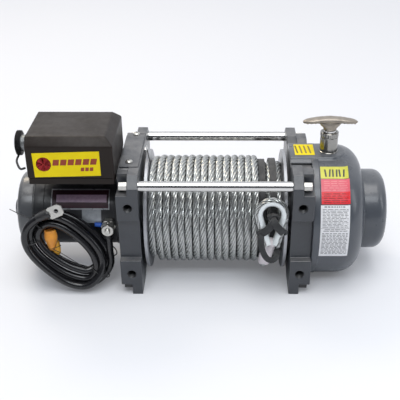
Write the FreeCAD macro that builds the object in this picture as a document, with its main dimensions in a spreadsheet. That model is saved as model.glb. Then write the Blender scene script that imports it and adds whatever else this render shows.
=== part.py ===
# Electric recovery winch: a parametric model in millimetres.
# Origin at the centre of the bolt pattern on the front mounting face.
# +X runs along the drum to the gear end, +Y to the back, +Z up.

import FreeCAD, Part
import Sketcher
import math
import operator
import os

# Driving dimensions. What seats on, fits in or lines up with another piece is worked out from these.
DIMENSIONS = {
    # Mounting pattern and side supports
    "bolt_spacing_across": 254.0,
    "bolt_spacing_up": 114.3,
    "mount_hole_diameter": 13.5,
    "mount_hole_depth": 42.0,
    "lower_hole_height": 36.4,
    "support_gap": 223.0,
    "support_depth": 202.0,
    "inner_leaf": 15.5,
    "outer_leaf": 16.5,
    "lug_height": 197.5,
    "lug_length": 58.0,
    "lug_chamfer": 16.0,
    "lug_outer_drop": 4.5,
    "front_recess": 9.0,
    "foot_block_height": 60.0,
    "upper_boss_start": 130.0,
    "foot_length": 50.0,
    "foot_relief": 8.0,
    "outer_foot_rise": 17.7,
    "motor_saddle_height": 194.6,
    "gear_saddle_height": 188.0,
    "bolt_pocket_depth": 28.0,
    "bolt_pocket_floor": 171.0,
    # Drum and rope
    "drum_axis_height": 95.8,
    "drum_side_clearance": 5.0,
    "flange_thickness": 4.5,
    "flange_radius": 93.0,
    "core_radius": 45.0,
    "hub_radius": 30.0,
    "hub_length": 12.0,
    "bearing_clearance": 0.05,
    "rope_diameter": 11.1,
    "pack_radius": 84.0,
    "outer_wraps": 15.0,
    "strap_width": 10.5,
    "strap_gap": 6.0,
    "strap_thickness": 4.0,
    "wrap_facets": 24.0,
    # Rope end with its thimble
    "eye_rope_diameter": 10.0,
    "eye_bend_radius": 18.8,
    "eye_centre_radius": 99.3,
    "eye_centre_angle": 24.0,
    "eye_centre_x": 82.7,
    "eye_lean": 11.0,
    "eye_toe_drop": 48.0,
    "thimble_wall": 1.6,
    "ferrule_width": 19.0,
    "ferrule_thickness": 13.5,
    "ferrule_end_x": 73.0,
    "ferrule_end_angle": -32.0,
    "ferrule_end_offset": 94.5,
    # Tie rods
    "tie_rod_diameter": 15.3,
    "tie_rod_height": 180.2,
    "tie_rod_inset": 13.4,
    "rod_bolt_across": 12.0,
    "rod_bolt_length": 12.5,
    "foot_nut_width": 12.0,
    "foot_nut_height": 7.0,
    # Cover plate on the motor side
    "cover_plate_length": 115.0,
    "cover_plate_width": 28.0,
    "cover_plate_thickness": 2.4,
    # Motor
    "motor_radius": 56.0,
    "motor_length": 133.5,
    "end_cap_radius": 58.5,
    "end_cap_length": 26.0,
    "end_cap_round": 7.0,
    "bearing_bump_radius": 15.0,
    "bearing_bump_length": 13.0,
    "terminal_from_support": 19.5,
    "terminal_nut_across": 20.0,
    "terminal_nut_height": 8.0,
    "terminal_drop": 2.0,
    "terminal_lug_drop": 14.0,
    # Control box
    "box_width": 123.6,
    "box_depth": 112.0,
    "box_reach": 90.0,
    "box_bottom_height": 184.0,
    "box_top_height": 255.0,
    "box_chamfer": 11.0,
    "box_end_gap": 0.5,
    "box_base_height": 10.0,
    "bracket_thickness": 3.0,
    "bracket_width": 70.0,
    "bracket_stance": 18.0,
    "socket_radius": 14.0,
    "socket_length": 16.0,
    "socket_height": 226.0,
    "socket_inset": 52.0,
    "socket_cap_radius": 18.5,
    "socket_cap_thickness": 8.0,
    # Gear end
    "housing_length": 80.0,
    "housing_round": 36.0,
    "housing_floor_gap": 0.8,
    "housing_rim_step": 1.2,
    "housing_rim_length": 10.0,
    "pad_half_width": 26.0,
    "pad_height": 197.0,
    "pad_round": 5.0,
    "end_cover_radius": 62.5,
    "end_cover_length": 38.0,
    "end_cover_round": 17.0,
    # Clutch
    "clutch_from_support": 28.0,
    "sleeve_radius": 13.4,
    "sleeve_length": 32.0,
    "plunger_radius": 10.0,
    "plunger_rise": 3.0,
    "sleeve_floor": 8.0,
    "handle_length": 82.0,
    "handle_width": 17.0,
    "handle_thickness": 9.0,
    "handle_rise": 19.7,
    "handle_clearance": 0.3,
    "handle_end_drop": 6.0,
    "neck_top_radius": 9.0,
    # Battery lead
    "lead_diameter": 11.5,
    "coil_half_length": 60.5,
    "coil_half_width": 37.0,
    "coil_fullness": 2.3,
    "coil_half_section": 14.5,
    "coil_half_thickness": 12.0,
    "coil_lean": 9.5,
    "coil_tilt": 43.0,
    "lug_width": 17.5,
    "lug_plate_thickness": 2.5,
    "lug_tongue_length": 16.0,
    "lug_barrel_length": 20.0,
    "lug_clearance": 0.3,
    "coil_x": -225.5,
    "coil_y": 25.5,
    "floor_clearance": 0.4,
}

document = FreeCAD.newDocument("Winch")
sheet = document.addObject("Spreadsheet::Sheet", "Sizes")
for row, (alias, number) in enumerate(DIMENSIONS.items(), start=1):
    sheet.set("A" + str(row), alias)
    sheet.set("B" + str(row), str(number))
    sheet.setAlias("B" + str(row), alias)
document.recompute()

OPERATIONS = {"+": operator.add, "-": operator.sub, "*": operator.mul, "/": operator.truediv}


class Size:
    """A number together with the spreadsheet formula that it comes from."""

    def __init__(self, value, formula):
        self.value = value
        self.formula = formula

    def __add__(self, other):
        return joined(self, "+", other)

    def __radd__(self, other):
        return joined(other, "+", self)

    def __sub__(self, other):
        return joined(self, "-", other)

    def __rsub__(self, other):
        return joined(other, "-", self)

    def __mul__(self, other):
        return joined(self, "*", other)

    def __rmul__(self, other):
        return joined(other, "*", self)

    def __truediv__(self, other):
        return joined(self, "/", other)

    def __neg__(self):
        return joined(0, "-", self)


def as_size(item):
    """Return a plain number as a Size, and a Size as it is."""
    return item if isinstance(item, Size) else Size(float(item), "(" + repr(float(item)) + ")")


def joined(left, sign, right):
    left = as_size(left)
    right = as_size(right)
    value = OPERATIONS[sign](left.value, right.value)
    return Size(value, "(" + left.formula + " " + sign + " " + right.formula + ")")


def dim(alias):
    """The driving dimension of that name, read from the sheet."""
    return Size(float(sheet.get(alias)), "Sizes." + alias)


# Levels and planes that several pieces share
floor = -(dim("lower_hole_height") + dim("bolt_spacing_up") / 2)
axis_y = dim("support_depth") / 2
axis_z = floor + dim("drum_axis_height")
inner_face = dim("support_gap") / 2
outer_face = inner_face + dim("inner_leaf") + dim("outer_leaf")
leaf_joint = inner_face + dim("inner_leaf")
flange_outer = inner_face - dim("drum_side_clearance")
flange_inner = flange_outer - dim("flange_thickness")
clutch_x = outer_face + dim("clutch_from_support")


# Drawing helpers
def place(item, x=0, y=0, z=0):
    """Bind an object's position to formulas."""
    for letter, distance in zip("xyz", (x, y, z)):
        item.setExpression("Placement.Base." + letter, as_size(distance).formula)


def new_body(label, x=0, y=0, z=0):
    body = document.addObject("PartDesign::Body", label)
    body.Label = label
    place(body, x, y, z)
    return body


def new_sketch(body, plane, offset=0):
    """A sketch on one of the body's own origin planes, moved along the plane's normal."""
    sketch = body.newObject("Sketcher::SketchObject", body.Name + "_sketch")
    origin_plane = [item for item in body.Origin.OriginFeatures if item.Role == plane][0]
    sketch.AttachmentSupport = [(origin_plane, "")]
    sketch.MapMode = "FlatFace"
    sketch.setExpression("AttachmentOffset.Base.z", as_size(offset).formula)
    return sketch


def pin_point(sketch, geometry, point, across, up):
    """Dimension a sketch point from the sketch's origin."""
    for kind, distance in (("DistanceX", as_size(across)), ("DistanceY", as_size(up))):
        number = sketch.addConstraint(
            Sketcher.Constraint(kind, -1, 1, geometry, point, distance.value))
        sketch.setExpression("Constraints[" + str(number) + "]", distance.formula)


def draw_outline(sketch, corners):
    """A closed outline of straight lines, each corner dimensioned."""
    points = [FreeCAD.Vector(as_size(a).value, as_size(b).value, 0) for a, b in corners]
    first = sketch.GeometryCount
    count = len(points)
    for index, point in enumerate(points):
        sketch.addGeometry(Part.LineSegment(point, points[(index + 1) % count]), False)
    for index in range(count):
        following = first + (index + 1) % count
        sketch.addConstraint(Sketcher.Constraint("Coincident", first + index, 2, following, 1))
    for index, (across, up) in enumerate(corners):
        pin_point(sketch, first + index, 1, across, up)


def draw_circle(sketch, across, up, radius):
    radius = as_size(radius)
    centre = FreeCAD.Vector(as_size(across).value, as_size(up).value, 0)
    number = sketch.addGeometry(Part.Circle(centre, FreeCAD.Vector(0, 0, 1), radius.value), False)
    pin_point(sketch, number, 3, across, up)
    limit = sketch.addConstraint(Sketcher.Constraint("Radius", number, radius.value))
    sketch.setExpression("Constraints[" + str(limit) + "]", radius.formula)


def add_pad(body, sketch, length, backwards=False):
    pad = body.newObject("PartDesign::Pad", body.Name + "_pad")
    pad.Profile = sketch
    pad.setExpression("Length", as_size(length).formula)
    pad.Reversed = backwards
    document.recompute()
    return pad


def cut_pocket(body, sketch, depth, backwards=False):
    """Cut a pocket and make sure that it removes material."""
    before = body.Shape.Volume
    pocket = body.newObject("PartDesign::Pocket", body.Name + "_pocket")
    pocket.Profile = sketch
    pocket.setExpression("Length", as_size(depth).formula)
    pocket.Reversed = backwards
    document.recompute()
    if body.Shape.Volume >= before:
        raise ValueError("A pocket cuts nothing in " + body.Label)
    return pocket


def turn(body, corners, about, plane="XY_Plane"):
    """Revolve an outline about the sketch's horizontal or vertical axis."""
    sketch = new_sketch(body, plane)
    draw_outline(sketch, corners)
    turned = body.newObject("PartDesign::Revolution", body.Name + "_turned")
    turned.Profile = sketch
    turned.ReferenceAxis = (sketch, [about])
    turned.Angle = 360
    document.recompute()
    return turned


def turned_x(label, x, corners):
    """A body revolved about the drum's axis, with its outline given as (along X, radius)."""
    body = new_body(label, x, axis_y, axis_z)
    return body, turn(body, corners, "H_Axis")


# Side supports
def support_outlines(saddle, saddle_start):
    """Side outlines (Y, Z from the floor) of the inner and the outer leaf of a support."""
    depth = dim("support_depth")
    lug = dim("lug_height")
    chamfer = dim("lug_chamfer")
    recess = dim("front_recess")
    block = dim("foot_block_height")
    boss = dim("upper_boss_start")
    foot = dim("foot_length")
    relief = dim("foot_relief")
    outer_lug = lug - dim("lug_outer_drop")
    pocket = dim("bolt_pocket_depth")
    shelf = dim("bolt_pocket_floor")
    rise = dim("outer_foot_rise")
    slope = lug - saddle
    front_half = [(0, 0), (0, block), (recess, block + 2), (recess, boss - 2), (0, boss),
                  (0, lug - chamfer), (chamfer, lug), (saddle_start - slope, lug),
                  (saddle_start, saddle)]
    outer_half = [(0, rise), (0, block), (recess, block + 2), (recess, boss - 2), (0, boss),
                  (0, shelf), (pocket, shelf), (pocket, outer_lug),
                  (saddle_start - slope, outer_lug), (saddle_start, saddle)]
    mirrored = [(depth - y, z) for y, z in reversed(front_half)]
    outer_mirrored = [(depth - y, z) for y, z in reversed(outer_half)]
    feet = [(depth - foot, 0), (depth - foot - relief, relief), (foot + relief, relief), (foot, 0)]
    return front_half + mirrored + feet, outer_half + outer_mirrored


def make_support(label, side, saddle, saddle_start):
    """One side support; side is -1 at the motor and 1 at the gears."""
    inner, outer = support_outlines(saddle, saddle_start)
    body = new_body(label, 0, 0, floor)
    leaf_sketch = new_sketch(body, "YZ_Plane", side * inner_face)
    draw_outline(leaf_sketch, inner)
    add_pad(body, leaf_sketch, dim("inner_leaf"), side < 0)
    outer_sketch = new_sketch(body, "YZ_Plane", side * leaf_joint)
    draw_outline(outer_sketch, outer)
    add_pad(body, outer_sketch, dim("outer_leaf"), side < 0)
    bearing = new_sketch(body, "YZ_Plane", side * inner_face)
    draw_circle(bearing, axis_y, dim("drum_axis_height"),
                dim("hub_radius") + dim("bearing_clearance"))
    cut_pocket(body, bearing, dim("hub_length"), side > 0)
    holes = new_sketch(body, "XZ_Plane")
    for height in (dim("lower_hole_height"), dim("lower_hole_height") + dim("bolt_spacing_up")):
        draw_circle(holes, side * dim("bolt_spacing_across") / 2, height,
                    dim("mount_hole_diameter") / 2)
    cut_pocket(body, holes, dim("mount_hole_depth"))
    return body


cover_start = (dim("support_depth") - dim("cover_plate_length")) / 2 - 1
make_support("motor_side_support", -1, dim("motor_saddle_height"), cover_start)
make_support("gear_side_support", 1, dim("gear_saddle_height"), dim("lug_length"))

cover = new_body("support_cover_plate",
                 -(outer_face - (dim("inner_leaf") + dim("outer_leaf") - dim("cover_plate_width")) / 2),
                 axis_y - dim("cover_plate_length") / 2, floor + dim("motor_saddle_height"))
cover_sketch = new_sketch(cover, "XY_Plane")
draw_outline(cover_sketch, [(0, 0), (dim("cover_plate_width"), 0),
                            (dim("cover_plate_width"), dim("cover_plate_length")),
                            (0, dim("cover_plate_length"))])
add_pad(cover, cover_sketch, dim("cover_plate_thickness"))


# Tie rods with the bolts that hold them
def make_tie_rod(label, y):
    rod = new_body(label, -inner_face, y, floor + dim("tie_rod_height"))
    sketch = new_sketch(rod, "YZ_Plane")
    draw_circle(sketch, 0, 0, dim("tie_rod_diameter") / 2)
    add_pad(rod, sketch, dim("support_gap"))


rod_places = {"front_tie_rod": dim("tie_rod_inset"),
              "rear_tie_rod": dim("support_depth") - dim("tie_rod_inset")}
for rod_label, rod_y in rod_places.items():
    make_tie_rod(rod_label, rod_y)


def group(label, members):
    """Several like pieces that don't touch, kept in one node."""
    compound = document.addObject("Part::Compound", label)
    compound.Label = label
    compound.Links = members
    document.recompute()
    return compound


bolt_heads = []
for side in (-1, 1):
    for rod_y in rod_places.values():
        head = document.addObject("Part::Prism", "rod_bolt_head")
        head.Polygon = 6
        head.setExpression("Circumradius", (dim("rod_bolt_across") / math.sqrt(3)).formula)
        head.setExpression("Height", dim("rod_bolt_length").formula)
        head.Placement.Rotation = FreeCAD.Rotation(FreeCAD.Vector(0, 1, 0), 90)
        start = leaf_joint if side > 0 else -(leaf_joint + dim("rod_bolt_length"))
        place(head, start, rod_y, floor + dim("tie_rod_height"))
        bolt_heads.append(head)
group("tie_rod_bolts", bolt_heads)

foot_nuts = []
for side in (-1, 1):
    for back in (False, True):
        nut = document.addObject("Part::Box", "foot_nut")
        nut.setExpression("Length", dim("foot_nut_width").formula)
        nut.setExpression("Width", dim("foot_nut_width").formula)
        nut.setExpression("Height", dim("foot_nut_height").formula)
        nut_x = leaf_joint + 0.3 if side > 0 else -(leaf_joint + 0.3 + dim("foot_nut_width"))
        nut_y = dim("support_depth") - dim("foot_nut_width") - 2 if back else as_size(2)
        place(nut, nut_x, nut_y, floor + dim("outer_foot_rise") - dim("foot_nut_height"))
        foot_nuts.append(nut)
group("foot_nuts", foot_nuts)

# Drum: the tube with its journals, and a flange at each end
drum_tube, _ = turned_x("drum_tube", 0, [
    (-(inner_face + dim("hub_length") - 1), 0), (-(inner_face + dim("hub_length") - 1), dim("hub_radius")),
    (-flange_outer, dim("hub_radius")), (-flange_outer, dim("core_radius")),
    (flange_outer, dim("core_radius")), (flange_outer, dim("hub_radius")),
    (inner_face + dim("hub_length") - 1, dim("hub_radius")), (inner_face + dim("hub_length") - 1, 0)])
for label, start in (("motor_side_flange", -flange_outer), ("gear_side_flange", flange_inner)):
    turned_x(label, start, [
        (0, dim("core_radius")), (0, dim("flange_radius")),
        (dim("flange_thickness"), dim("flange_radius")),
        (dim("flange_thickness"), dim("core_radius"))])


def skin(sections, ring=False):
    """A solid with flat walls between neighbouring sections, closed into a ring if asked."""
    pairs = list(zip(sections, sections[1:]))
    faces = []
    if ring:
        pairs.append((sections[-1], sections[0]))
    else:
        faces = [Part.Face(Part.makePolygon(end + [end[0]])) for end in (sections[0], sections[-1])]
    for first, second in pairs:
        for corner in range(len(first)):
            after = (corner + 1) % len(first)
            faces.append(Part.Face(Part.makePolygon(
                [first[corner], first[after], second[after], second[corner], first[corner]])))
    solid = Part.Solid(Part.makeShell(faces))
    if solid.Volume < 0:
        solid.reverse()
    return solid


def ring_of_facets(profile):
    """A ring about the drum's axis with flat facets, from its closed outline (along X, radius)."""
    sides = int(dim("wrap_facets").value)
    turns = [2 * math.pi * number / sides for number in range(sides)]
    return skin([[FreeCAD.Vector(x, r * math.cos(angle), r * math.sin(angle)) for angle in turns]
                 for x, r in profile], True)


# The inner side of a faceted ring clears a round one at the middle of its facets
facet_clearance = 1 / math.cos(math.pi / dim("wrap_facets").value)
low_radius = dim("pack_radius") - dim("rope_diameter") * 0.8660254


def rope_pack_shape():
    """The wound rope: a ridge for each wrap, one layer lower beside the rope's end."""
    pitch = dim("rope_diameter").value
    left = -flange_inner.value
    right = flange_inner.value
    core = dim("core_radius").value * facet_clearance
    end_of_layer = left + pitch * dim("outer_wraps").value
    profile = [(left, core)]

    def wraps(start, end, count, ridge):
        step = (end - start) / count
        for number in range(count):
            here = start + step * number
            profile.extend([(here, ridge - pitch * 0.3), (here + step * 0.28, ridge),
                            (here + step * 0.72, ridge)])
        profile.append((end, ridge - pitch * 0.3))

    wraps(left, end_of_layer, int(dim("outer_wraps").value), dim("pack_radius").value)
    low_wraps = max(1, round((right - end_of_layer) / pitch))
    wraps(end_of_layer, right, low_wraps, low_radius.value)
    profile.append((right, core))
    return ring_of_facets(profile)


def add_shape(label, shape, x=0, y=0, z=0, rotation=None):
    """A node whose shape is worked out in code from the sheet's values."""
    feature = document.addObject("Part::Feature", label)
    feature.Label = label
    feature.Shape = shape
    if rotation is not None:
        feature.Placement.Rotation = rotation
    place(feature, x, y, z)
    return feature


add_shape("rope_pack", rope_pack_shape(), 0, axis_y, axis_z)

outer_layer_end = -flange_inner + dim("rope_diameter") * dim("outer_wraps")


def strap_band(start):
    """One turn of the strap round the lower wraps."""
    inner = low_radius.value + 0.3
    outer = inner + dim("strap_thickness").value
    end = start + dim("strap_width").value
    return ring_of_facets([(start, inner), (start, outer), (end, outer), (end, inner)])


strap_step = dim("strap_width").value + dim("strap_gap").value
strap_start = outer_layer_end.value + 0.3
add_shape("hold_strap", Part.makeCompound([strap_band(strap_start), strap_band(strap_start + strap_step)]),
          0, axis_y, axis_z)


# Rope end: eye, thimble and ferrule. The eye's own frame has x along the drum,
# y along the eye and z outwards from the drum.
eye_lean = math.radians(dim("eye_lean").value)
outwards = FreeCAD.Vector(0, -math.cos(eye_lean), math.sin(eye_lean))
upwards = FreeCAD.Vector(0, math.sin(eye_lean), math.cos(eye_lean))


def around(x, angle_deg, distance):
    """A point at that angle above the drum's front and that distance from its axis."""
    angle = math.radians(angle_deg)
    return FreeCAD.Vector(x, -math.cos(angle) * distance, math.sin(angle) * distance)


eye_centre = around(dim("eye_centre_x").value, dim("eye_centre_angle").value,
                    dim("eye_centre_radius").value)


def eye_point(across, up, out=0.0):
    """A point of the eye in the frame of the drum's axis."""
    return eye_centre + FreeCAD.Vector(across, 0, 0) + upwards * up + outwards * out


def eye_line(bend_radius, toe_half_width, drop):
    """The teardrop line of the rope or the thimble as (across, up): leg, bend, leg."""
    distance = math.hypot(drop, toe_half_width)
    reach = math.acos(bend_radius / distance) + math.atan2(toe_half_width, drop)
    steps = 12
    bend = [math.pi * 1.5 - reach - (2 * math.pi - 2 * reach) * step / steps
            for step in range(steps + 1)]
    points = [(bend_radius * math.cos(angle), bend_radius * math.sin(angle)) for angle in bend]
    return [(-toe_half_width, -drop)] + points + [(toe_half_width, -drop)]


def mitred(line, outline, to_space, ring=False):
    """A solid of constant outline along a flat line of straight runs, mitred at each corner.

    The outline's first number is measured to the left of the line, its second out of the plane.
    """
    count = len(line)
    headings = []
    for index in range(count if ring else count - 1):
        ahead = line[(index + 1) % count]
        headings.append(math.atan2(ahead[1] - line[index][1], ahead[0] - line[index][0]))
    sections = []
    for index, (across, up) in enumerate(line):
        before = headings[index - 1] if ring or index > 0 else headings[0]
        after = headings[index] if index < len(headings) else headings[-1]
        turn_half = math.remainder(after - before, 2 * math.pi) / 2
        side = before + turn_half + math.pi / 2
        stretch = 1 / math.cos(turn_half)
        sections.append([to_space(across + math.cos(side) * left * stretch,
                                  up + math.sin(side) * left * stretch, out)
                         for left, out in outline])
    return skin(sections, ring)


def many_sided(radius, sides):
    """The corners of a regular polygon in a circle of that radius."""
    turns = [2 * math.pi * (number + 0.5) / sides for number in range(sides)]
    return [(radius * math.cos(angle), radius * math.sin(angle)) for angle in turns]


toe_half_width = dim("eye_rope_diameter").value / 2 + dim("thimble_wall").value + 1.0
rope_line = eye_line(dim("eye_bend_radius").value, toe_half_width, dim("eye_toe_drop").value)
add_shape("rope_eye", mitred(rope_line, many_sided(dim("eye_rope_diameter").value / 2, 8), eye_point),
          0, axis_y, axis_z)


def thimble_shape():
    """A channel bent round the inside of the eye, with a wall each side of the rope."""
    rope = dim("eye_rope_diameter").value / 2
    wall = dim("thimble_wall").value
    bend = dim("eye_bend_radius").value - rope - 0.3 - wall
    half = rope + 0.3 + wall
    lip = rope * 0.9
    channel = [(0, -half), (lip + wall, -half), (lip + wall, wall - half), (wall, wall - half),
               (wall, half - wall), (lip + wall, half - wall), (lip + wall, half), (0, half)]
    return mitred(eye_line(bend, 0.4, dim("eye_toe_drop").value - 4), channel, eye_point)


add_shape("thimble", thimble_shape(), 0, axis_y, axis_z)


ferrule_start = eye_point(0, -dim("eye_toe_drop").value - 4.7)
ferrule_end = around(dim("ferrule_end_x").value, dim("ferrule_end_angle").value,
                     dim("ferrule_end_offset").value)
ferrule_run = ferrule_end - ferrule_start
ferrule_down = FreeCAD.Vector(ferrule_run).normalize()
ferrule_side = ferrule_down.cross(outwards).normalize()
ferrule_front = ferrule_side.cross(ferrule_down)
ferrule_flat = (dim("ferrule_width").value - dim("ferrule_thickness").value) / 2
ferrule_round = dim("ferrule_thickness").value / 2


def ferrule_point(across, out):
    return ferrule_start + ferrule_side * across + ferrule_front * out


ferrule_outline = Part.Wire([
    Part.LineSegment(ferrule_point(-ferrule_flat, ferrule_round),
                     ferrule_point(ferrule_flat, ferrule_round)).toShape(),
    Part.Arc(ferrule_point(ferrule_flat, ferrule_round), ferrule_point(ferrule_flat + ferrule_round, 0),
             ferrule_point(ferrule_flat, -ferrule_round)).toShape(),
    Part.LineSegment(ferrule_point(ferrule_flat, -ferrule_round),
                     ferrule_point(-ferrule_flat, -ferrule_round)).toShape(),
    Part.Arc(ferrule_point(-ferrule_flat, -ferrule_round), ferrule_point(-ferrule_flat - ferrule_round, 0),
             ferrule_point(-ferrule_flat, ferrule_round)).toShape()])
add_shape("ferrule", Part.Face(ferrule_outline).extrude(ferrule_run), 0, axis_y, axis_z)


def tail_shape():
    """The rope between the ferrule and the strap that it lies on."""
    x = dim("ferrule_end_x").value
    lie = (low_radius + dim("strap_thickness") + dim("rope_diameter") / 2 + 0.6).value
    start = ferrule_end + ferrule_down * 3.3
    start_angle = math.atan2(start.z, -start.y)
    meet = start_angle - math.acos(lie / math.hypot(start.y, start.z))
    steps = 5
    bend = [meet - math.radians(40) * step / steps for step in range(steps + 1)]
    line = [(-start.y, start.z)] + [(math.cos(angle) * lie, math.sin(angle) * lie) for angle in bend]
    return mitred(line, many_sided(dim("rope_diameter").value / 2, 8),
                  lambda front, up, out: FreeCAD.Vector(x + out, -front, up))


add_shape("rope_tail", tail_shape(), 0, axis_y, axis_z)

# Motor
motor_right = -outer_face
turned_x("motor_casing", motor_right - dim("motor_length"), [
    (0, 0), (0, dim("motor_radius")), (dim("motor_length"), dim("motor_radius")),
    (dim("motor_length"), 0)])
cap_left = motor_right - dim("motor_length") - dim("end_cap_length")
cap_round = dim("end_cap_round")
turned_x("motor_end_cap", cap_left, [
    (-dim("bearing_bump_length"), 0), (-dim("bearing_bump_length"), dim("bearing_bump_radius")),
    (0, dim("bearing_bump_radius")), (0, dim("end_cap_radius") - cap_round),
    (cap_round, dim("end_cap_radius")),
    (dim("end_cap_length"), dim("end_cap_radius")), (dim("end_cap_length"), 0)])

terminal_x = motor_right - dim("terminal_from_support")
terminal_z = axis_z + dim("terminal_drop")
terminal = new_body("motor_terminal", terminal_x, axis_y - dim("motor_radius") + 1, terminal_z)
hexagon = []
for corner_number in range(6):
    angle = math.radians(60 * corner_number)
    reach = dim("terminal_nut_across") / math.sqrt(3)
    hexagon.append((reach * math.cos(angle), reach * math.sin(angle)))
terminal_sketch = new_sketch(terminal, "XZ_Plane")
draw_outline(terminal_sketch, hexagon)
add_pad(terminal, terminal_sketch, dim("terminal_nut_height") + 1)
terminal_seat = new_sketch(terminal, "YZ_Plane", -dim("terminal_nut_across"))
draw_circle(terminal_seat, dim("motor_radius") - 1, -dim("terminal_drop"), dim("motor_radius"))
cut_pocket(terminal, terminal_seat, dim("terminal_nut_across") * 2, True)

lug_face_y = axis_y - dim("motor_radius") - dim("terminal_nut_height")
lug_barrel = new_body("terminal_lug", terminal_x, lug_face_y - dim("lead_diameter") / 2 - 0.6,
                      terminal_z - dim("terminal_lug_drop"))
barrel_sketch = new_sketch(lug_barrel, "XY_Plane")
draw_circle(barrel_sketch, 0, 0, dim("lead_diameter") / 2 + 0.6)
add_pad(lug_barrel, barrel_sketch, dim("terminal_lug_drop") + 4)

# Control box on its bracket
box_right = motor_right - dim("box_end_gap")
box_left = box_right - dim("box_width")
box_front = axis_y - dim("box_reach")
box_bottom = floor + dim("box_bottom_height")
box_height = dim("box_top_height") - dim("box_bottom_height")
box = new_body("control_box_cover", box_left, box_front, box_bottom + dim("box_base_height"))
box_sketch = new_sketch(box, "YZ_Plane")
cover_height = box_height - dim("box_base_height")
draw_outline(box_sketch, [
    (0, 0), (0, cover_height - dim("box_chamfer")), (dim("box_chamfer"), cover_height),
    (dim("box_depth") - dim("box_chamfer"), cover_height),
    (dim("box_depth"), cover_height - dim("box_chamfer")), (dim("box_depth"), 0)])
add_pad(box, box_sketch, dim("box_width"))
corner_cut = new_sketch(box, "XZ_Plane")
draw_outline(corner_cut, [
    (dim("box_width") - dim("box_chamfer"), cover_height),
    (dim("box_width") + 1, cover_height - dim("box_chamfer") - 1),
    (dim("box_width") + 1, cover_height + 1),
    (dim("box_width") - dim("box_chamfer"), cover_height + 1)])
cut_pocket(box, corner_cut, dim("box_depth"))

box_base = new_body("control_box_base", box_left, box_front, box_bottom)
base_sketch = new_sketch(box_base, "XY_Plane")
draw_outline(base_sketch, [(1, 1), (dim("box_width") - 1, 1),
                           (dim("box_width") - 1, dim("box_depth") - 1), (1, dim("box_depth") - 1)])
add_pad(box_base, base_sketch, dim("box_base_height"))

bracket = new_body("control_box_bracket", (box_left + box_right) / 2 - dim("bracket_width") / 2,
                   axis_y, axis_z)
bracket_sketch = new_sketch(bracket, "YZ_Plane")
bracket_top = box_bottom - axis_z
web = dim("bracket_thickness")
stance = dim("bracket_stance")
draw_outline(bracket_sketch, [
    (-stance - web, 0), (-stance - web, bracket_top), (stance + web, bracket_top),
    (stance + web, 0), (stance, 0), (stance, bracket_top - web),
    (-stance, bracket_top - web), (-stance, 0)])
add_pad(bracket, bracket_sketch, dim("bracket_width"))
motor_seat = new_sketch(bracket, "YZ_Plane")
draw_circle(motor_seat, 0, 0, dim("motor_radius"))
cut_pocket(bracket, motor_seat, dim("bracket_width"), True)

socket_z = floor + dim("socket_height")
socket_y = box_front + dim("socket_inset")
socket = new_body("remote_socket", box_left - dim("socket_length"), socket_y, socket_z)
turn(socket, [(0, 0), (0, dim("socket_radius")), (dim("socket_length"), dim("socket_radius")),
              (dim("socket_length"), 0)], "H_Axis")
socket_cap = new_body("remote_socket_cap", box_left - dim("socket_length") - dim("socket_cap_thickness"),
                      socket_y, socket_z)
turn(socket_cap, [(0, 0), (0, dim("socket_cap_radius")),
                  (dim("socket_cap_thickness"), dim("socket_cap_radius")),
                  (dim("socket_cap_thickness"), 0)], "H_Axis")

# Gear housing with the flat pad that carries the clutch sleeve
housing_radius = dim("pad_height") - dim("drum_axis_height")
rim_radius = housing_radius + dim("housing_rim_step")
housing_round = dim("housing_round")
round_middle = housing_round * 0.27
housing, _ = turned_x("gear_housing", outer_face, [
    (0, 0), (0, rim_radius), (dim("housing_rim_length"), rim_radius),
    (dim("housing_rim_length"), housing_radius),
    (dim("housing_length") - housing_round, housing_radius),
    (dim("housing_length") - round_middle, housing_radius - round_middle),
    (dim("housing_length"), housing_radius - housing_round), (dim("housing_length"), 0)])
shaved = new_sketch(housing, "YZ_Plane")
for inside, outside in (
        (housing_radius, rim_radius + 1),
        (dim("housing_floor_gap") - dim("drum_axis_height"), -rim_radius - 1)):
    draw_outline(shaved, [(-housing_radius, inside), (housing_radius, inside),
                          (housing_radius, outside), (-housing_radius, outside)])
cut_pocket(housing, shaved, dim("housing_length"), True)
pad_sketch = new_sketch(housing, "XY_Plane", dim("gear_saddle_height") - dim("drum_axis_height"))
pad_left = -(dim("inner_leaf") + dim("outer_leaf") - 0.5)
draw_outline(pad_sketch, [(pad_left, -dim("pad_half_width")),
                          (dim("clutch_from_support"), -dim("pad_half_width")),
                          (dim("clutch_from_support") + dim("pad_half_width") * 0.71,
                           -dim("pad_half_width") * 0.71),
                          (dim("clutch_from_support") + dim("pad_half_width"), 0),
                          (dim("clutch_from_support") + dim("pad_half_width") * 0.71,
                           dim("pad_half_width") * 0.71),
                          (dim("clutch_from_support"), dim("pad_half_width")),
                          (pad_left, dim("pad_half_width"))])
add_pad(housing, pad_sketch, dim("pad_height") - dim("gear_saddle_height"))
cover_flat = dim("end_cover_round") * 0.6
turned_x("gear_end_cover", outer_face + dim("housing_length"), [
    (0, 0), (0, dim("end_cover_radius")),
    (dim("end_cover_length") - cover_flat, dim("end_cover_radius")),
    (dim("end_cover_length"), dim("end_cover_radius") - cover_flat), (dim("end_cover_length"), 0)])

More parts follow.
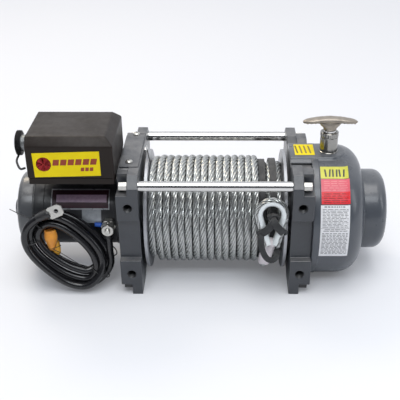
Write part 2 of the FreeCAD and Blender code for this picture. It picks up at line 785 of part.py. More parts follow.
# Clutch: sleeve, sprung plunger and T-handle
sleeve_height = dim("sleeve_length")
sleeve_top = dim("pad_height") + sleeve_height
plunger_depth = sleeve_height - dim("sleeve_floor")
sleeve = new_body("clutch_sleeve", clutch_x, axis_y, floor + dim("pad_height"))
turn(sleeve, [(0, 0), (dim("sleeve_radius"), 0), (dim("sleeve_radius"), sleeve_height),
              (dim("plunger_radius") + dim("bearing_clearance"), sleeve_height),
              (dim("plunger_radius") + dim("bearing_clearance"), sleeve_height - plunger_depth),
              (0, sleeve_height - plunger_depth)], "V_Axis", "XZ_Plane")
plunger = new_body("clutch_plunger", clutch_x, axis_y, floor + sleeve_top)
turn(plunger, [(0, 0.5 - plunger_depth), (dim("plunger_radius"), 0.5 - plunger_depth),
               (dim("plunger_radius"), dim("plunger_rise")), (0, dim("plunger_rise"))],
     "V_Axis", "XZ_Plane")

handle_foot = sleeve_top + dim("plunger_rise") + dim("handle_clearance")
handle = new_body("clutch_handle", clutch_x, axis_y, floor + handle_foot)
handle_sketch = new_sketch(handle, "XZ_Plane", -dim("handle_width") / 2)
handle_top = dim("handle_rise")
half = dim("handle_length") / 2
thick = dim("handle_thickness")
drop = dim("handle_end_drop")
draw_outline(handle_sketch, [
    (-half, handle_top - drop), (-half * 0.6, handle_top - drop * 0.25), (0, handle_top),
    (half * 0.6, handle_top - drop * 0.25), (half, handle_top - drop),
    (half, handle_top - drop - thick * 0.5), (half * 0.5, handle_top - thick - drop * 0.2),
    (dim("neck_top_radius") + 4, handle_top - thick), (dim("neck_top_radius"), handle_top - thick - 4),
    (dim("neck_top_radius"), 0), (-dim("neck_top_radius"), 0),
    (-dim("neck_top_radius"), handle_top - thick - 4), (-dim("neck_top_radius") - 4, handle_top - thick),
    (-half * 0.5, handle_top - thick - drop * 0.2), (-half, handle_top - drop - thick * 0.5)])
add_pad(handle, handle_sketch, dim("handle_width"))


# Battery lead: the coil that stands before the motor, and the stretch from the terminal to it.
# The coil's own frame has x along the drum and z up its leaning face.
lean = math.radians(dim("coil_lean").value)
tilt = math.radians(dim("coil_tilt").value)
half_length = dim("coil_half_length").value
half_width = dim("coil_half_width").value
half_section = dim("coil_half_section").value
half_thickness = dim("coil_half_thickness").value


def coil_line(steps=22):
    """The middle line of the coil: a full oval, its long way falling to the right."""
    power = 2 / dim("coil_fullness").value
    line = []
    for step in range(steps):
        angle = -2 * math.pi * step / steps
        along = math.copysign(abs(math.cos(angle)) ** power, math.cos(angle)) * half_length
        beside = math.copysign(abs(math.sin(angle)) ** power, math.sin(angle)) * half_width
        line.append((along * math.cos(tilt) + beside * math.sin(tilt),
                     beside * math.cos(tilt) - along * math.sin(tilt)))
    return line


def coil_shape():
    """The outer shape of the coil: an oval ring of oval section, standing on its edge."""
    oval = [(across * half_section, out * half_thickness) for across, out in many_sided(1, 10)]
    return mitred(coil_line(), oval, lambda x, z, y: FreeCAD.Vector(x, y, z), True)


section_reach = math.hypot(half_section * math.cos(lean), half_thickness * math.sin(lean))
coil_rise = max(up for across, up in coil_line()) * math.cos(lean) + section_reach
coil_height = floor + coil_rise + dim("floor_clearance")
add_shape("battery_lead_coil", coil_shape(), dim("coil_x"), dim("coil_y"), coil_height,
          FreeCAD.Rotation(FreeCAD.Vector(1, 0, 0), -dim("coil_lean").value))


def route_tube(points, diameter):
    """Straight runs joined by tangent arcs, each as large as its two runs allow."""
    edges = []
    here = points[0]
    for before, corner, after in zip(points, points[1:], points[2:]):
        back = before - corner
        ahead = after - corner
        reach = 0.45 * min(back.Length, ahead.Length)
        half_turn = (math.pi - back.getAngle(ahead)) / 2
        radius = reach / math.tan(half_turn)
        back.normalize()
        ahead.normalize()
        arc_start = corner + back * reach
        arc_end = corner + ahead * reach
        middle = (back + ahead).normalize()
        arc_middle = corner + middle * (radius / math.cos(half_turn) - radius)
        edges.append(Part.LineSegment(here, arc_start).toShape())
        edges.append(Part.Arc(arc_start, arc_middle, arc_end).toShape())
        here = arc_end
        print("bend radius", round(radius, 1), "turn", round(math.degrees(2 * half_turn), 1))
    edges.append(Part.LineSegment(here, points[-1]).toShape())
    path = Part.Wire(edges)
    heading = (points[1] - points[0]).normalize()
    across = heading.cross(FreeCAD.Vector(1, 0, 0)).normalize()
    level = across.cross(heading)
    corners = [points[0] + across * u + level * v for u, v in many_sided(diameter / 2, 8)]
    section = Part.makePolygon(corners + [corners[0]])
    solid = Part.Solid(path.makePipeShell([section], True, False, 2))
    print("tube volume over section times length",
          round(solid.Volume / (Part.Face(section).Area * path.Length), 4))
    return solid


# Points of the lead's free stretch, in the row's frame, from the lug's barrel into the coil
lead_exit = FreeCAD.Vector(lug_barrel.Placement.Base.x, lug_barrel.Placement.Base.y,
                           lug_barrel.Placement.Base.z)
LEAD_ROUTE = [(-162.4, 30.2, -20.5), (-162.8, 28.2, -31.0)]
lead_points = [lead_exit] + [FreeCAD.Vector(*point) for point in LEAD_ROUTE]
add_shape("battery_lead_tube", route_tube(lead_points, dim("lead_diameter").value))


def on_coil(along_x, up, out):
    """A point of the row's frame from the coil's own frame; out is towards the front."""
    turn_back = FreeCAD.Rotation(FreeCAD.Vector(1, 0, 0), -dim("coil_lean").value)
    base = FreeCAD.Vector(dim("coil_x").value, dim("coil_y").value, coil_height.value)
    return base + turn_back.multVec(FreeCAD.Vector(along_x, -out, up))


lug_barrel_radius = dim("lead_diameter").value / 2 + 0.8


def lug_shape():
    """The ring lug on the lead's free end: a flat tongue with a hole, and its crimped barrel."""
    wide = dim("lug_width").value
    thick = dim("lug_plate_thickness").value
    length = dim("lug_barrel_length").value
    reach = dim("lug_tongue_length").value
    tongue = Part.makeBox(reach, wide, thick, FreeCAD.Vector(0, -wide / 2, -thick / 2))
    hole = Part.makeCylinder(wide * 0.2, thick * 4, FreeCAD.Vector(reach * 0.52, 0, -thick * 2))
    sleeve = skin([[FreeCAD.Vector(x, y, z) for y, z in many_sided(lug_barrel_radius, 12)]
                   for x in (-length, 0)])
    return tongue.cut(hole).fuse(sleeve)


def lay_between(start, end):
    """The rotation that turns local +X from one point of the coil to another, and +Z outwards."""
    facing = on_coil(0.0, 0.0, 1.0) - on_coil(0.0, 0.0, 0.0)
    return FreeCAD.Rotation(end - start, FreeCAD.Vector(0, 0, 0), facing, "XZY")


lug_out = half_thickness * 0.85 + lug_barrel_radius + dim("lug_clearance").value
lug_start = on_coil(-15.0, 66.2, lug_out)
lug_turn = lay_between(on_coil(-38.5, 56.2, lug_out), lug_start)
add_shape("lead_end_lug", lug_shape(), lug_start.x, lug_start.y, lug_start.z, lug_turn)


def boot_shape(length, wide_radius, narrow_radius):
    """A rubber boot: a tapered cap that widens from its neck, along +X."""
    stations = [(0, narrow_radius), (length * 0.6, wide_radius), (length, wide_radius * 0.92)]
    return skin([[FreeCAD.Vector(x, y, z) for y, z in many_sided(radius, 12)]
                 for x, radius in stations])


BOOTS = {
    "orange_boot": (on_coil(-22.6, 0.4, 4.4), on_coil(-24.4, 32.8, 4.4), 8.8, 4.4),
    "yellow_boot": (on_coil(-16.4, 10.5, -5.9), on_coil(-18.0, -5.2, -5.9), 6.4, 4.2)}
for boot_label, (boot_top, boot_end, wide, narrow) in BOOTS.items():
    add_shape(boot_label, boot_shape((boot_end - boot_top).Length, wide, narrow),
              boot_top.x, boot_top.y, boot_top.z, lay_between(boot_top, boot_end))

# Checks and export
document.recompute()
NODES = [
    "motor_side_support", "gear_side_support", "support_cover_plate", "front_tie_rod",
    "rear_tie_rod", "tie_rod_bolts", "foot_nuts", "drum_tube", "motor_side_flange",
    "gear_side_flange", "rope_pack", "hold_strap", "rope_eye", "thimble", "ferrule", "rope_tail",
    "motor_casing", "motor_end_cap", "motor_terminal", "control_box_cover", "control_box_base",
    "control_box_bracket", "remote_socket", "remote_socket_cap", "gear_housing",
    "gear_end_cover", "clutch_sleeve", "clutch_plunger", "clutch_handle", "terminal_lug",
    "battery_lead_coil", "battery_lead_tube", "lead_end_lug", "orange_boot", "yellow_boot"]

for item in document.Objects:
    if "Invalid" in item.State or "Error" in item.State:
        raise ValueError("This object failed: " + item.Label)
parts = {item.Label: item for item in document.Objects if item.Label in NODES}
for label in NODES:
    shape = parts[label].Shape
    if shape.isNull() or not shape.isValid() or shape.Volume <= 0:
        raise ValueError("This shape is not sound: " + label)

os.makedirs("parts", exist_ok=True)
for label in NODES:
    parts[label].Shape.exportStep("parts/" + label + ".step")
print(len(NODES), "pieces written")
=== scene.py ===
import math
import random

import bpy
from mathutils import Matrix, Vector


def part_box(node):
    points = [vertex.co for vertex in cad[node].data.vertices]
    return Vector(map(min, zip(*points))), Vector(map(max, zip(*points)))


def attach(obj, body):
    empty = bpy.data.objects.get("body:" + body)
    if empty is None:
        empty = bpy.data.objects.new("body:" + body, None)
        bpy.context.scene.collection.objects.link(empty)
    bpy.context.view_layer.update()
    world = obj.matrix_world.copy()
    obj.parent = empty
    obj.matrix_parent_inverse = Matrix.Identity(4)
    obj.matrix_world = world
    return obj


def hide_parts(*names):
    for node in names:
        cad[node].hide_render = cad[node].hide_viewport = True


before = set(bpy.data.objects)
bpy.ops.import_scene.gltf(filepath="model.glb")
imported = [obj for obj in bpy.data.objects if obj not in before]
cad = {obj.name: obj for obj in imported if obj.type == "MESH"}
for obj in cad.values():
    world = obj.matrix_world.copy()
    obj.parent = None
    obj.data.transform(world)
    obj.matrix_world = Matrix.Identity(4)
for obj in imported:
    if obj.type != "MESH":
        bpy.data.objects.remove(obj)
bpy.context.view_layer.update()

# Sizes in millimetres, in the frame of the CAD: X along the drum, Y to the back, Z up
MM = 0.001
FLOOR = -93.55
AXIS_Y = 101.0
AXIS_Z = 2.25
OUTER_FACE = 143.5
FLANGE_INNER = 102.0
ROPE_D = 11.1
ROPE_R = ROPE_D / 2
PACK_R = 84.0
LOW_R = PACK_R - ROPE_D * 0.866
CLUTCH_X = 171.5
MOTOR_R = 56.0
LEAD_D = 11.5

# Values that every finish shares
# A light warm tone for dust on faces that look up; it also paints the light that falls on them
DUST_AND_TOP_LIGHT_TONE = (0.42, 0.40, 0.38)
GLOSS_SPREAD = 0.1
COAT_ROUGH = 0.15


class Nodes:
    """A node tree that is being built."""

    def __init__(self, tree):
        self.tree = tree

    def node(self, kind, **settings):
        made = self.tree.nodes.new(kind)
        for key, value in settings.items():
            setattr(made, key, value)
        return made

    def link(self, source, target):
        self.tree.links.new(source, target)

    def feed(self, socket, item):
        """Give a socket another node's output, a number or a colour."""
        if isinstance(item, bpy.types.NodeSocket):
            self.link(item, socket)
        elif isinstance(item, tuple):
            socket.default_value = (*item[:3], 1.0)
        else:
            socket.default_value = item

    def math(self, operation, first, second, clamp=False):
        made = self.node("ShaderNodeMath", operation=operation, use_clamp=clamp)
        self.feed(made.inputs[0], first)
        self.feed(made.inputs[1], second)
        return made.outputs[0]

    def noise(self, scale, detail, rough):
        """Noise over the piece's own coordinates."""
        made = self.node("ShaderNodeTexNoise")
        self.link(self.node("ShaderNodeTexCoord").outputs["Object"], made.inputs["Vector"])
        self.feed(made.inputs["Detail"], detail)
        self.feed(made.inputs["Roughness"], rough)
        self.feed(made.inputs["Scale"], scale)
        return made.outputs["Fac"]

    def ramp(self, source, low, high, start=0.0, end=1.0):
        """Map a value from one span to another, clamped."""
        made = self.node("ShaderNodeMapRange")
        for label, item in (("Value", source), ("From Min", low), ("From Max", high),
                            ("To Min", start), ("To Max", end)):
            self.feed(made.inputs[label], item)
        return made.outputs["Result"]

    def blend(self, share, first, second):
        """Blend two colours."""
        made = self.node("ShaderNodeMix", data_type="RGBA")
        for slot, item in ((0, share), (6, first), (7, second)):
            self.feed(made.inputs[slot], item)
        return made.outputs[2]

    def mix_surfaces(self, share, first, second, output):
        """Send a mix of two shaders to the tree's output node."""
        made = self.node("ShaderNodeMixShader")
        for slot, item in enumerate((share, first.outputs[0], second.outputs[0])):
            self.link(item, made.inputs[slot])
        self.link(made.outputs[0], self.tree.nodes[output].inputs["Surface"])


def socket_kind(is_colour):
    return "NodeSocketColor" if is_colour else "NodeSocketFloat"


class Effect(Nodes):
    """A node group that several materials share, with named inputs and outputs."""

    def __init__(self, name, outputs, **inputs):
        super().__init__(bpy.data.node_groups.new(name, "ShaderNodeTree"))
        for label, default in inputs.items():
            socket = self.tree.interface.new_socket(label.replace("_", " "), in_out="INPUT",
                                                    socket_type=socket_kind(isinstance(default, tuple)))
            self.feed(socket, default)
        for label in outputs:
            self.tree.interface.new_socket(label, in_out="OUTPUT", socket_type=socket_kind(label == "Color"))
        self.given = self.node("NodeGroupInput").outputs
        self.result = self.node("NodeGroupOutput").inputs


def make_mottle():
    """Two tones that drift into each other."""
    effect = Effect("mottle", ("Color", "Mask"), Tone_A=(0.5, 0.5, 0.5), Tone_B=(0.4, 0.4, 0.4), Scale=30.0)
    mask = effect.ramp(effect.noise(effect.given["Scale"], 5.0, 0.6), 0.35, 0.68)
    effect.link(effect.blend(mask, effect.given["Tone A"], effect.given["Tone B"]), effect.result["Color"])
    effect.link(mask, effect.result["Mask"])
    return effect.tree


def make_edge_wear():
    """A mask on sharp edges, broken up by noise."""
    effect = Effect("edge_wear", ("Mask",), Radius=0.001, Breakup=250.0, Amount=0.5)
    softened = effect.node("ShaderNodeBevel", samples=4)
    effect.link(effect.given["Radius"], softened.inputs["Radius"])
    surface = effect.node("ShaderNodeNewGeometry")
    bend = effect.node("ShaderNodeVectorMath", operation="DOT_PRODUCT")
    effect.link(softened.outputs["Normal"], bend.inputs[0])
    effect.link(surface.outputs["True Normal"], bend.inputs[1])
    edge = effect.ramp(bend.outputs["Value"], 0.995, 0.90)
    broken = effect.ramp(effect.noise(effect.given["Breakup"], 5.0, 0.65), 0.42, 0.62)
    mask = effect.math("MULTIPLY", edge, broken)
    effect.link(effect.math("MULTIPLY", mask, effect.given["Amount"], True), effect.result["Mask"])
    return effect.tree


def make_grain():
    """A height of fine pits over slower waves, for castings, plastic and rubber."""
    effect = Effect("grain", ("Height",), Scale=900.0, Waves=60.0, Share=0.5)
    pits = effect.noise(effect.given["Scale"], 3.0, 0.6)
    waves = effect.noise(effect.given["Waves"], 2.0, 0.5)
    mixed = effect.node("ShaderNodeMix", data_type="FLOAT")
    effect.link(effect.given["Share"], mixed.inputs[0])
    effect.link(pits, mixed.inputs[2])
    effect.link(waves, mixed.inputs[3])
    effect.link(mixed.outputs[0], effect.result["Height"])
    return effect.tree


def make_dust_and_top_light():
    """A mask on faces that look up: dust, and painted light falling on them from above."""
    effect = Effect("dust_and_top_light", ("Mask",), Amount=0.3, Scale=40.0)
    surface = effect.node("ShaderNodeNewGeometry")
    split = effect.node("ShaderNodeSeparateXYZ")
    effect.link(surface.outputs["Normal"], split.inputs[0])
    up = effect.ramp(split.outputs["Z"], 0.45, 0.98)
    patches = effect.ramp(effect.noise(effect.given["Scale"], 5.0, 0.7), 0.3, 0.75)
    mask = effect.math("MULTIPLY", up, patches)
    effect.link(effect.math("MULTIPLY", mask, effect.given["Amount"], True), effect.result["Mask"])
    return effect.tree


EFFECTS = {"mottle": make_mottle(), "edge_wear": make_edge_wear(), "grain": make_grain(),
           "dust_and_top_light": make_dust_and_top_light()}
FINISHES = {}


def place_effect(owner, name, **values):
    """An effect in a material, with its own values; gives the effect's outputs."""
    made = owner.node("ShaderNodeGroup", node_tree=EFFECTS[name])
    for label, item in values.items():
        owner.feed(made.inputs[label.replace("_", " ")], item)
    return made.outputs


def add_finish(name, tone_a, tone_b, rough, metallic=0.0, coat=0.0, specular=0.5, sheen=0.0, spots=30.0,
               grain=900.0, depth=0.00005, wear=0.0, wear_tone=(0.6, 0.6, 0.6), dust_and_top_light=0.0, bevel=0.0006):
    """A material with mottled colour, worn edges, dust and painted top light, uneven gloss, a fine grain and
    soft edges.
    """
    material = bpy.data.materials.new(name.replace(" ", "_"))
    material.use_nodes = True
    made = Nodes(material.node_tree)
    shader = made.tree.nodes["Principled BSDF"].inputs
    for label, value in (("Metallic", metallic), ("Coat Weight", coat), ("Coat Roughness", COAT_ROUGH),
                         ("Specular IOR Level", specular), ("Sheen Weight", sheen)):
        shader[label].default_value = value
    colour = place_effect(made, "mottle", Tone_A=tone_a, Tone_B=tone_b, Scale=spots)["Color"]
    if wear:
        edges = place_effect(made, "edge_wear", Amount=wear, Radius=max(bevel, 0.0008))
        colour = made.blend(edges["Mask"], colour, wear_tone)
    # Faces that look up are blended towards a lighter tone: dust, and painted light from above
    if dust_and_top_light:
        colour = made.blend(place_effect(made, "dust_and_top_light", Amount=dust_and_top_light)["Mask"], colour, DUST_AND_TOP_LIGHT_TONE)
    made.link(colour, shader["Base Color"])
    half = GLOSS_SPREAD / 2
    gloss = made.noise(spots * 1.7, 4.0, 0.6)
    made.link(made.ramp(gloss, 0.3, 0.7, rough - half, rough + half), shader["Roughness"])
    relief = made.node("ShaderNodeBump")
    relief.inputs["Strength"].default_value = 1.0
    relief.inputs["Distance"].default_value = depth
    made.link(place_effect(made, "grain", Scale=grain, Waves=spots * 2)["Height"], relief.inputs["Height"])
    softened = made.node("ShaderNodeBevel", samples=4)
    softened.inputs["Radius"].default_value = bevel
    made.link(softened.outputs["Normal"], relief.inputs["Normal"])
    made.link(relief.outputs["Normal"], shader["Normal"])
    FINISHES[name] = material


# Paints and plastics
add_finish("grey casting", (0.034, 0.038, 0.045), (0.043, 0.047, 0.055), 0.38, coat=0.25, wear=0.5,
           wear_tone=(0.30, 0.31, 0.33), dust_and_top_light=0.35, depth=0.00012, grain=700.0)
add_finish("housing paint", (0.056, 0.064, 0.077), (0.070, 0.078, 0.091), 0.30, coat=0.25, spots=14.0,
           depth=0.00006, dust_and_top_light=0.2, wear=0.3, wear_tone=(0.25, 0.26, 0.28))
add_finish("motor paint", (0.018, 0.019, 0.021), (0.026, 0.027, 0.030), 0.36, coat=0.1, spots=25.0,
           depth=0.00010, dust_and_top_light=0.12, wear=0.2, wear_tone=(0.12, 0.12, 0.12))
add_finish("end cap paint", (0.070, 0.074, 0.080), (0.088, 0.092, 0.098), 0.30, coat=0.5,
           depth=0.00015, dust_and_top_light=0.3, wear=0.4, wear_tone=(0.4, 0.38, 0.34))
add_finish("box plastic", (0.0145, 0.0100, 0.0078), (0.0180, 0.0124, 0.0098), 0.42, spots=18.0,
           grain=2200.0, depth=0.00006, dust_and_top_light=0.10, bevel=0.0015, specular=0.2)

# Metals
add_finish("polished steel", (0.66, 0.65, 0.63), (0.58, 0.57, 0.56), 0.16, metallic=1.0, depth=0.00001,
           spots=20.0, bevel=0.0004)
add_finish("dull chrome", (0.36, 0.35, 0.33), (0.28, 0.275, 0.26), 0.20, metallic=1.0, depth=0.00001,
           spots=20.0, bevel=0.0004)
add_finish("zinc plate", (0.62, 0.61, 0.57), (0.50, 0.49, 0.46), 0.36, metallic=0.9, spots=90.0,
           depth=0.00004, wear=0.3, wear_tone=(0.2, 0.18, 0.15))
add_finish("thimble zinc", (0.80, 0.84, 0.84), (0.70, 0.74, 0.75), 0.36, metallic=0.35, spots=60.0)
add_finish("galvanised", (0.60, 0.61, 0.59), (0.44, 0.455, 0.455), 0.30, metallic=0.92, spots=160.0,
           depth=0.00012, grain=2600.0)
add_finish("swaged alloy", (0.80, 0.74, 0.76), (0.64, 0.60, 0.62), 0.40, metallic=0.3, spots=70.0,
           depth=0.00010)
# Black oxide for the nuts, bracket and clip wire; also the painted shade in the screws' cross recesses
add_finish("black oxide", (0.016, 0.016, 0.017), (0.030, 0.030, 0.032), 0.45, spots=90.0, wear=0.4,
           wear_tone=(0.16, 0.16, 0.16))
add_finish("drum steel", (0.42, 0.43, 0.45), (0.34, 0.35, 0.37), 0.38, metallic=0.5, spots=40.0,
           wear=0.5, wear_tone=(0.55, 0.55, 0.55))
add_finish("nickel casting", (0.40, 0.355, 0.30), (0.30, 0.265, 0.225), 0.44, metallic=0.85,
           spots=110.0, depth=0.00035, grain=450.0)
add_finish("socket metal", (0.30, 0.31, 0.31), (0.20, 0.21, 0.21), 0.42, metallic=0.7, spots=90.0)
add_finish("thread steel", (0.05, 0.05, 0.052), (0.09, 0.09, 0.09), 0.4, metallic=0.5, spots=200.0)

# Rubber, webbing and wires
add_finish("black rubber", (0.014, 0.014, 0.015), (0.022, 0.022, 0.023), 0.42, spots=60.0, dust_and_top_light=0.15)
add_finish("lead sheath", (0.008, 0.008, 0.009), (0.012, 0.012, 0.014), 0.22, coat=0.15, spots=45.0,
           depth=0.00003)
add_finish("orange rubber", (0.80, 0.33, 0.03), (0.66, 0.24, 0.03), 0.42, spots=80.0, depth=0.00006,
           sheen=0.1)
add_finish("yellow rubber", (0.85, 0.46, 0.04), (0.72, 0.34, 0.03), 0.42, spots=80.0, depth=0.00006,
           sheen=0.1)
add_finish("strap webbing", (0.016, 0.017, 0.018), (0.028, 0.029, 0.031), 0.62, spots=140.0,
           grain=1800.0, depth=0.00015, dust_and_top_light=0.2, sheen=0.1)
add_finish("shrink sleeve", (0.018, 0.018, 0.019), (0.028, 0.028, 0.030), 0.36, spots=70.0,
           depth=0.0001, dust_and_top_light=0.15)
add_finish("tie wire", (0.010, 0.010, 0.011), (0.02, 0.02, 0.02), 0.4)
add_finish("blue sleeve", (0.02, 0.12, 0.55), (0.02, 0.09, 0.42), 0.4, spots=120.0)
add_finish("rope shadow", (0.10, 0.10, 0.105), (0.06, 0.06, 0.065), 0.6)

# Labels and the plain prints on them
SMOOTH = 0.00001
add_finish("label yellow", (0.86, 0.68, 0.002), (0.82, 0.63, 0.002), 0.5, specular=0.2, spots=60.0,
           depth=SMOOTH)
add_finish("label lime", (0.62, 0.60, 0.06), (0.55, 0.53, 0.05), 0.38, spots=90.0, depth=SMOOTH)
add_finish("label red", (0.72, 0.12, 0.16), (0.68, 0.10, 0.13), 0.38, spots=90.0, depth=SMOOTH)
add_finish("label bright red", (0.74, 0.02, 0.03), (0.68, 0.018, 0.026), 0.38, spots=90.0, depth=SMOOTH)
add_finish("label white", (0.80, 0.80, 0.81), (0.74, 0.74, 0.76), 0.42, spots=70.0, depth=SMOOTH)
add_finish("label silver", (0.36, 0.38, 0.40), (0.28, 0.30, 0.32), 0.36, metallic=0.3, spots=150.0,
           depth=SMOOTH)
add_finish("plate silver", (0.45, 0.46, 0.48), (0.36, 0.37, 0.39), 0.3, metallic=0.5, spots=80.0,
           depth=SMOOTH)
add_finish("plate maroon", (0.050, 0.010, 0.020), (0.016, 0.007, 0.011), 0.34, spots=16.0, depth=SMOOTH)
add_finish("print lavender", (0.50, 0.36, 0.46), (0.38, 0.26, 0.36), 0.4, spots=260.0, depth=SMOOTH)
add_finish("print red", (0.60, 0.015, 0.02), (0.57, 0.014, 0.02), 0.4, spots=80.0)
add_finish("print deep red", (0.42, 0.012, 0.02), (0.34, 0.01, 0.016), 0.4, spots=80.0)
add_finish("print rose", (0.80, 0.26, 0.28), (0.74, 0.20, 0.22), 0.4, spots=80.0)
add_finish("print brown", (0.30, 0.035, 0.003), (0.26, 0.03, 0.003), 0.4, spots=90.0)
add_finish("print olive", (0.28, 0.20, 0.01), (0.22, 0.15, 0.01), 0.4, spots=90.0)
add_finish("print black", (0.03, 0.03, 0.02), (0.06, 0.06, 0.03), 0.4, spots=90.0)
add_finish("print grey", (0.16, 0.16, 0.17), (0.24, 0.24, 0.25), 0.45, spots=200.0)

# The CAD nodes that stay in view, by finish
CAD_FINISH = {
    "grey casting": ("motor_side_support", "gear_side_support", "support_cover_plate"),
    "polished steel": ("front_tie_rod", "rear_tie_rod", "clutch_plunger"),
    "zinc plate": ("tie_rod_bolts", "motor_terminal"),
    "black oxide": ("foot_nuts", "control_box_bracket"),
    "drum steel": ("drum_tube", "motor_side_flange", "gear_side_flange"),
    "box plastic": ("control_box_cover", "control_box_base"),
    "black rubber": ("terminal_lug",)}
for finish, labels in CAD_FINISH.items():
    for label in labels:
        cad[label].data.materials.clear()
        cad[label].data.materials.append(FINISHES[finish])


def show(name, data):
    """A new object in the scene."""
    thing = bpy.data.objects.new(name, data)
    bpy.context.scene.collection.objects.link(thing)
    return thing


def round_turns(count, extra=0):
    """Angles once round a circle in that many steps, and as many more as extra."""
    return [2 * math.pi * step / count for step in range(count + extra)]


def squared_off(value, power):
    """A cosine or sine made fuller, with its sign kept."""
    return math.copysign(abs(value) ** power, value)


# Shapes are kept as (points, faces) in millimetres until a piece is made of them
def skin(loops, ring=False, caps=True):
    """A skin over loops of points, each with the same count."""
    count = len(loops[0])
    points = [point for loop in loops for point in loop]
    faces = []
    spans = len(loops) if ring else len(loops) - 1
    for row in range(spans):
        after = (row + 1) % len(loops)
        for column in range(count):
            beside = (column + 1) % count
            faces.append((row * count + column, row * count + beside,
                          after * count + beside, after * count + column))
    if caps and not ring:
        faces.append(tuple(reversed(range(count))))
        faces.append(tuple((len(loops) - 1) * count + column for column in range(count)))
    return points, faces


def make_piece(name, body, parts, sharp=40, instead_of=()):
    """One object out of several skins, each given with its finish."""
    points, faces, finishes, kinds = [], [], [], []
    for finish, (part_points, part_faces) in parts:
        start = len(points)
        points.extend(tuple(c * MM for c in point) for point in part_points)
        faces.extend(tuple(start + corner for corner in face) for face in part_faces)
        if finish not in kinds:
            kinds.append(finish)
        finishes.extend([kinds.index(finish)] * len(part_faces))
    mesh = bpy.data.meshes.new(name)
    mesh.from_pydata(points, [], faces)
    for kind in kinds:
        mesh.materials.append(FINISHES[kind])
    mesh.polygons.foreach_set("material_index", finishes)
    mesh.update()
    mesh.shade_smooth()
    mesh.set_sharp_from_angle(angle=math.radians(sharp))
    thing = show(name, mesh)
    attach(thing, body)
    if instead_of:
        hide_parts(*instead_of)


def rounded(corners, steps=6):
    """An outline with its corners rounded; a corner is (along, out) or (along, out, radius)."""
    points = []
    for index, corner in enumerate(corners):
        here = Vector(corner[:2])
        radius = corner[2] if len(corner) > 2 else 0
        if not radius or index in (0, len(corners) - 1):
            points.append(here)
            continue
        back = Vector(corners[index - 1][:2]) - here
        ahead = Vector(corners[index + 1][:2]) - here
        half = back.angle(ahead) / 2
        reach = min(radius / math.tan(half), back.length * 0.98, ahead.length * 0.98)
        middle = here + (back.normalized() + ahead.normalized()).normalized() * (reach / math.cos(half))
        start = here + back.normalized() * reach - middle
        end = here + ahead.normalized() * reach - middle
        first = math.atan2(start.y, start.x)
        turn = math.remainder(math.atan2(end.y, end.x) - first, 2 * math.pi)
        points.extend(middle + Vector((math.cos(first + turn * step / steps),
                                       math.sin(first + turn * step / steps))) * start.length
                      for step in range(steps + 1))
    return points


POINTED = 0.05


def turned(origin, heading, profile, steps=72, caps=True):
    """A turned skin; the profile holds (along, radius) pairs from the origin on."""
    origin = Vector(origin)
    heading = Vector(heading).normalized()
    side = heading.orthogonal().normalized()
    up = heading.cross(side)
    loops = []
    for along, radius in profile:
        reach = max(radius, POINTED)
        loops.append([origin + heading * along + (side * math.cos(turn) + up * math.sin(turn)) * reach
                      for turn in round_turns(steps)])
    return skin(loops, caps=caps)


def along_drum(start, profile, steps):
    """A skin turned about the drum's axis, from that x on."""
    return turned((start, AXIS_Y, AXIS_Z), (1, 0, 0), profile, steps)


def smooth_line(points, steps=8):
    """A smooth line through the given points."""
    points = [Vector(point) for point in points]
    ends = [points[0] * 2 - points[1]] + points + [points[-1] * 2 - points[-2]]
    line = []
    for a, b, c, d in zip(ends, ends[1:], ends[2:], ends[3:]):
        for step in range(steps):
            t = step / steps
            line.append(0.5 * (2 * b + (c - a) * t + (2 * a - 5 * b + 4 * c - d) * t * t
                               + (3 * b - a - 3 * c + d) * t ** 3))
    line.append(points[-1])
    return line


def carried_frames(path, first_side):
    """A heading, a side and an upward direction at each point of a path, without twist."""
    frames = []
    side = Vector(first_side)
    for index in range(len(path)):
        before = path[max(index - 1, 0)]
        after = path[min(index + 1, len(path) - 1)]
        heading = (after - before).normalized()
        side = (side - heading * side.dot(heading)).normalized()
        frames.append((heading, side, heading.cross(side)))
    return frames


def tube(path, radius, sides=8):
    """A thin round wire along a path."""
    first = (path[1] - path[0]).orthogonal()
    return skin([[centre + (side * math.cos(turn) + up * math.sin(turn)) * radius
                  for turn in round_turns(sides)]
                 for centre, (heading, side, up) in zip(path, carried_frames(path, first))])


def ribbon(path, width, thick, facing):
    """A flat strap with rounded edges along a path, its broad side towards facing."""
    outline = [(0.5, 0.15), (0.44, 0.5), (-0.44, 0.5), (-0.5, 0.15),
               (-0.5, -0.15), (-0.44, -0.5), (0.44, -0.5), (0.5, -0.15)]
    loops = []
    for index, centre in enumerate(path):
        heading = (path[min(index + 1, len(path) - 1)] - path[max(index - 1, 0)]).normalized()
        side = heading.cross(facing).normalized()
        front = side.cross(heading)
        loops.append([centre + side * (across * width) + front * (out * thick)
                      for across, out in outline])
    return skin(loops)


# Heights over a label's surface: its back, its face and the prints on it
LABEL_BACK = -0.05
LABEL_FACE = 0.3
PRINT_FACE = 0.36


def patch(surface, across, down, low=LABEL_BACK, high=LABEL_FACE, corners=(0, 0, 1, 1)):
    """A thin closed sheet over surface(u, v, lift), between two corners in u and v."""
    left, top, right, bottom = corners
    points, faces = [], []
    for lift in (low, high):
        for row in range(down + 1):
            for column in range(across + 1):
                points.append(surface(left + (right - left) * column / across,
                                      top + (bottom - top) * row / down, lift))
    wide = across + 1
    layer = wide * (down + 1)
    for row in range(down):
        for column in range(across):
            a = row * wide + column
            faces.append((a, a + 1, a + wide + 1, a + wide))
            faces.append((layer + a, layer + a + wide, layer + a + wide + 1, layer + a + 1))
    rim = list(range(wide))
    rim += [row * wide + across for row in range(1, down + 1)]
    rim += [down * wide + column for column in range(across - 1, -1, -1)]
    rim += [row * wide for row in range(down - 1, 0, -1)]
    for here, after in zip(rim, rim[1:] + rim[:1]):
        faces.append((after, here, layer + here, layer + after))
    return points, faces


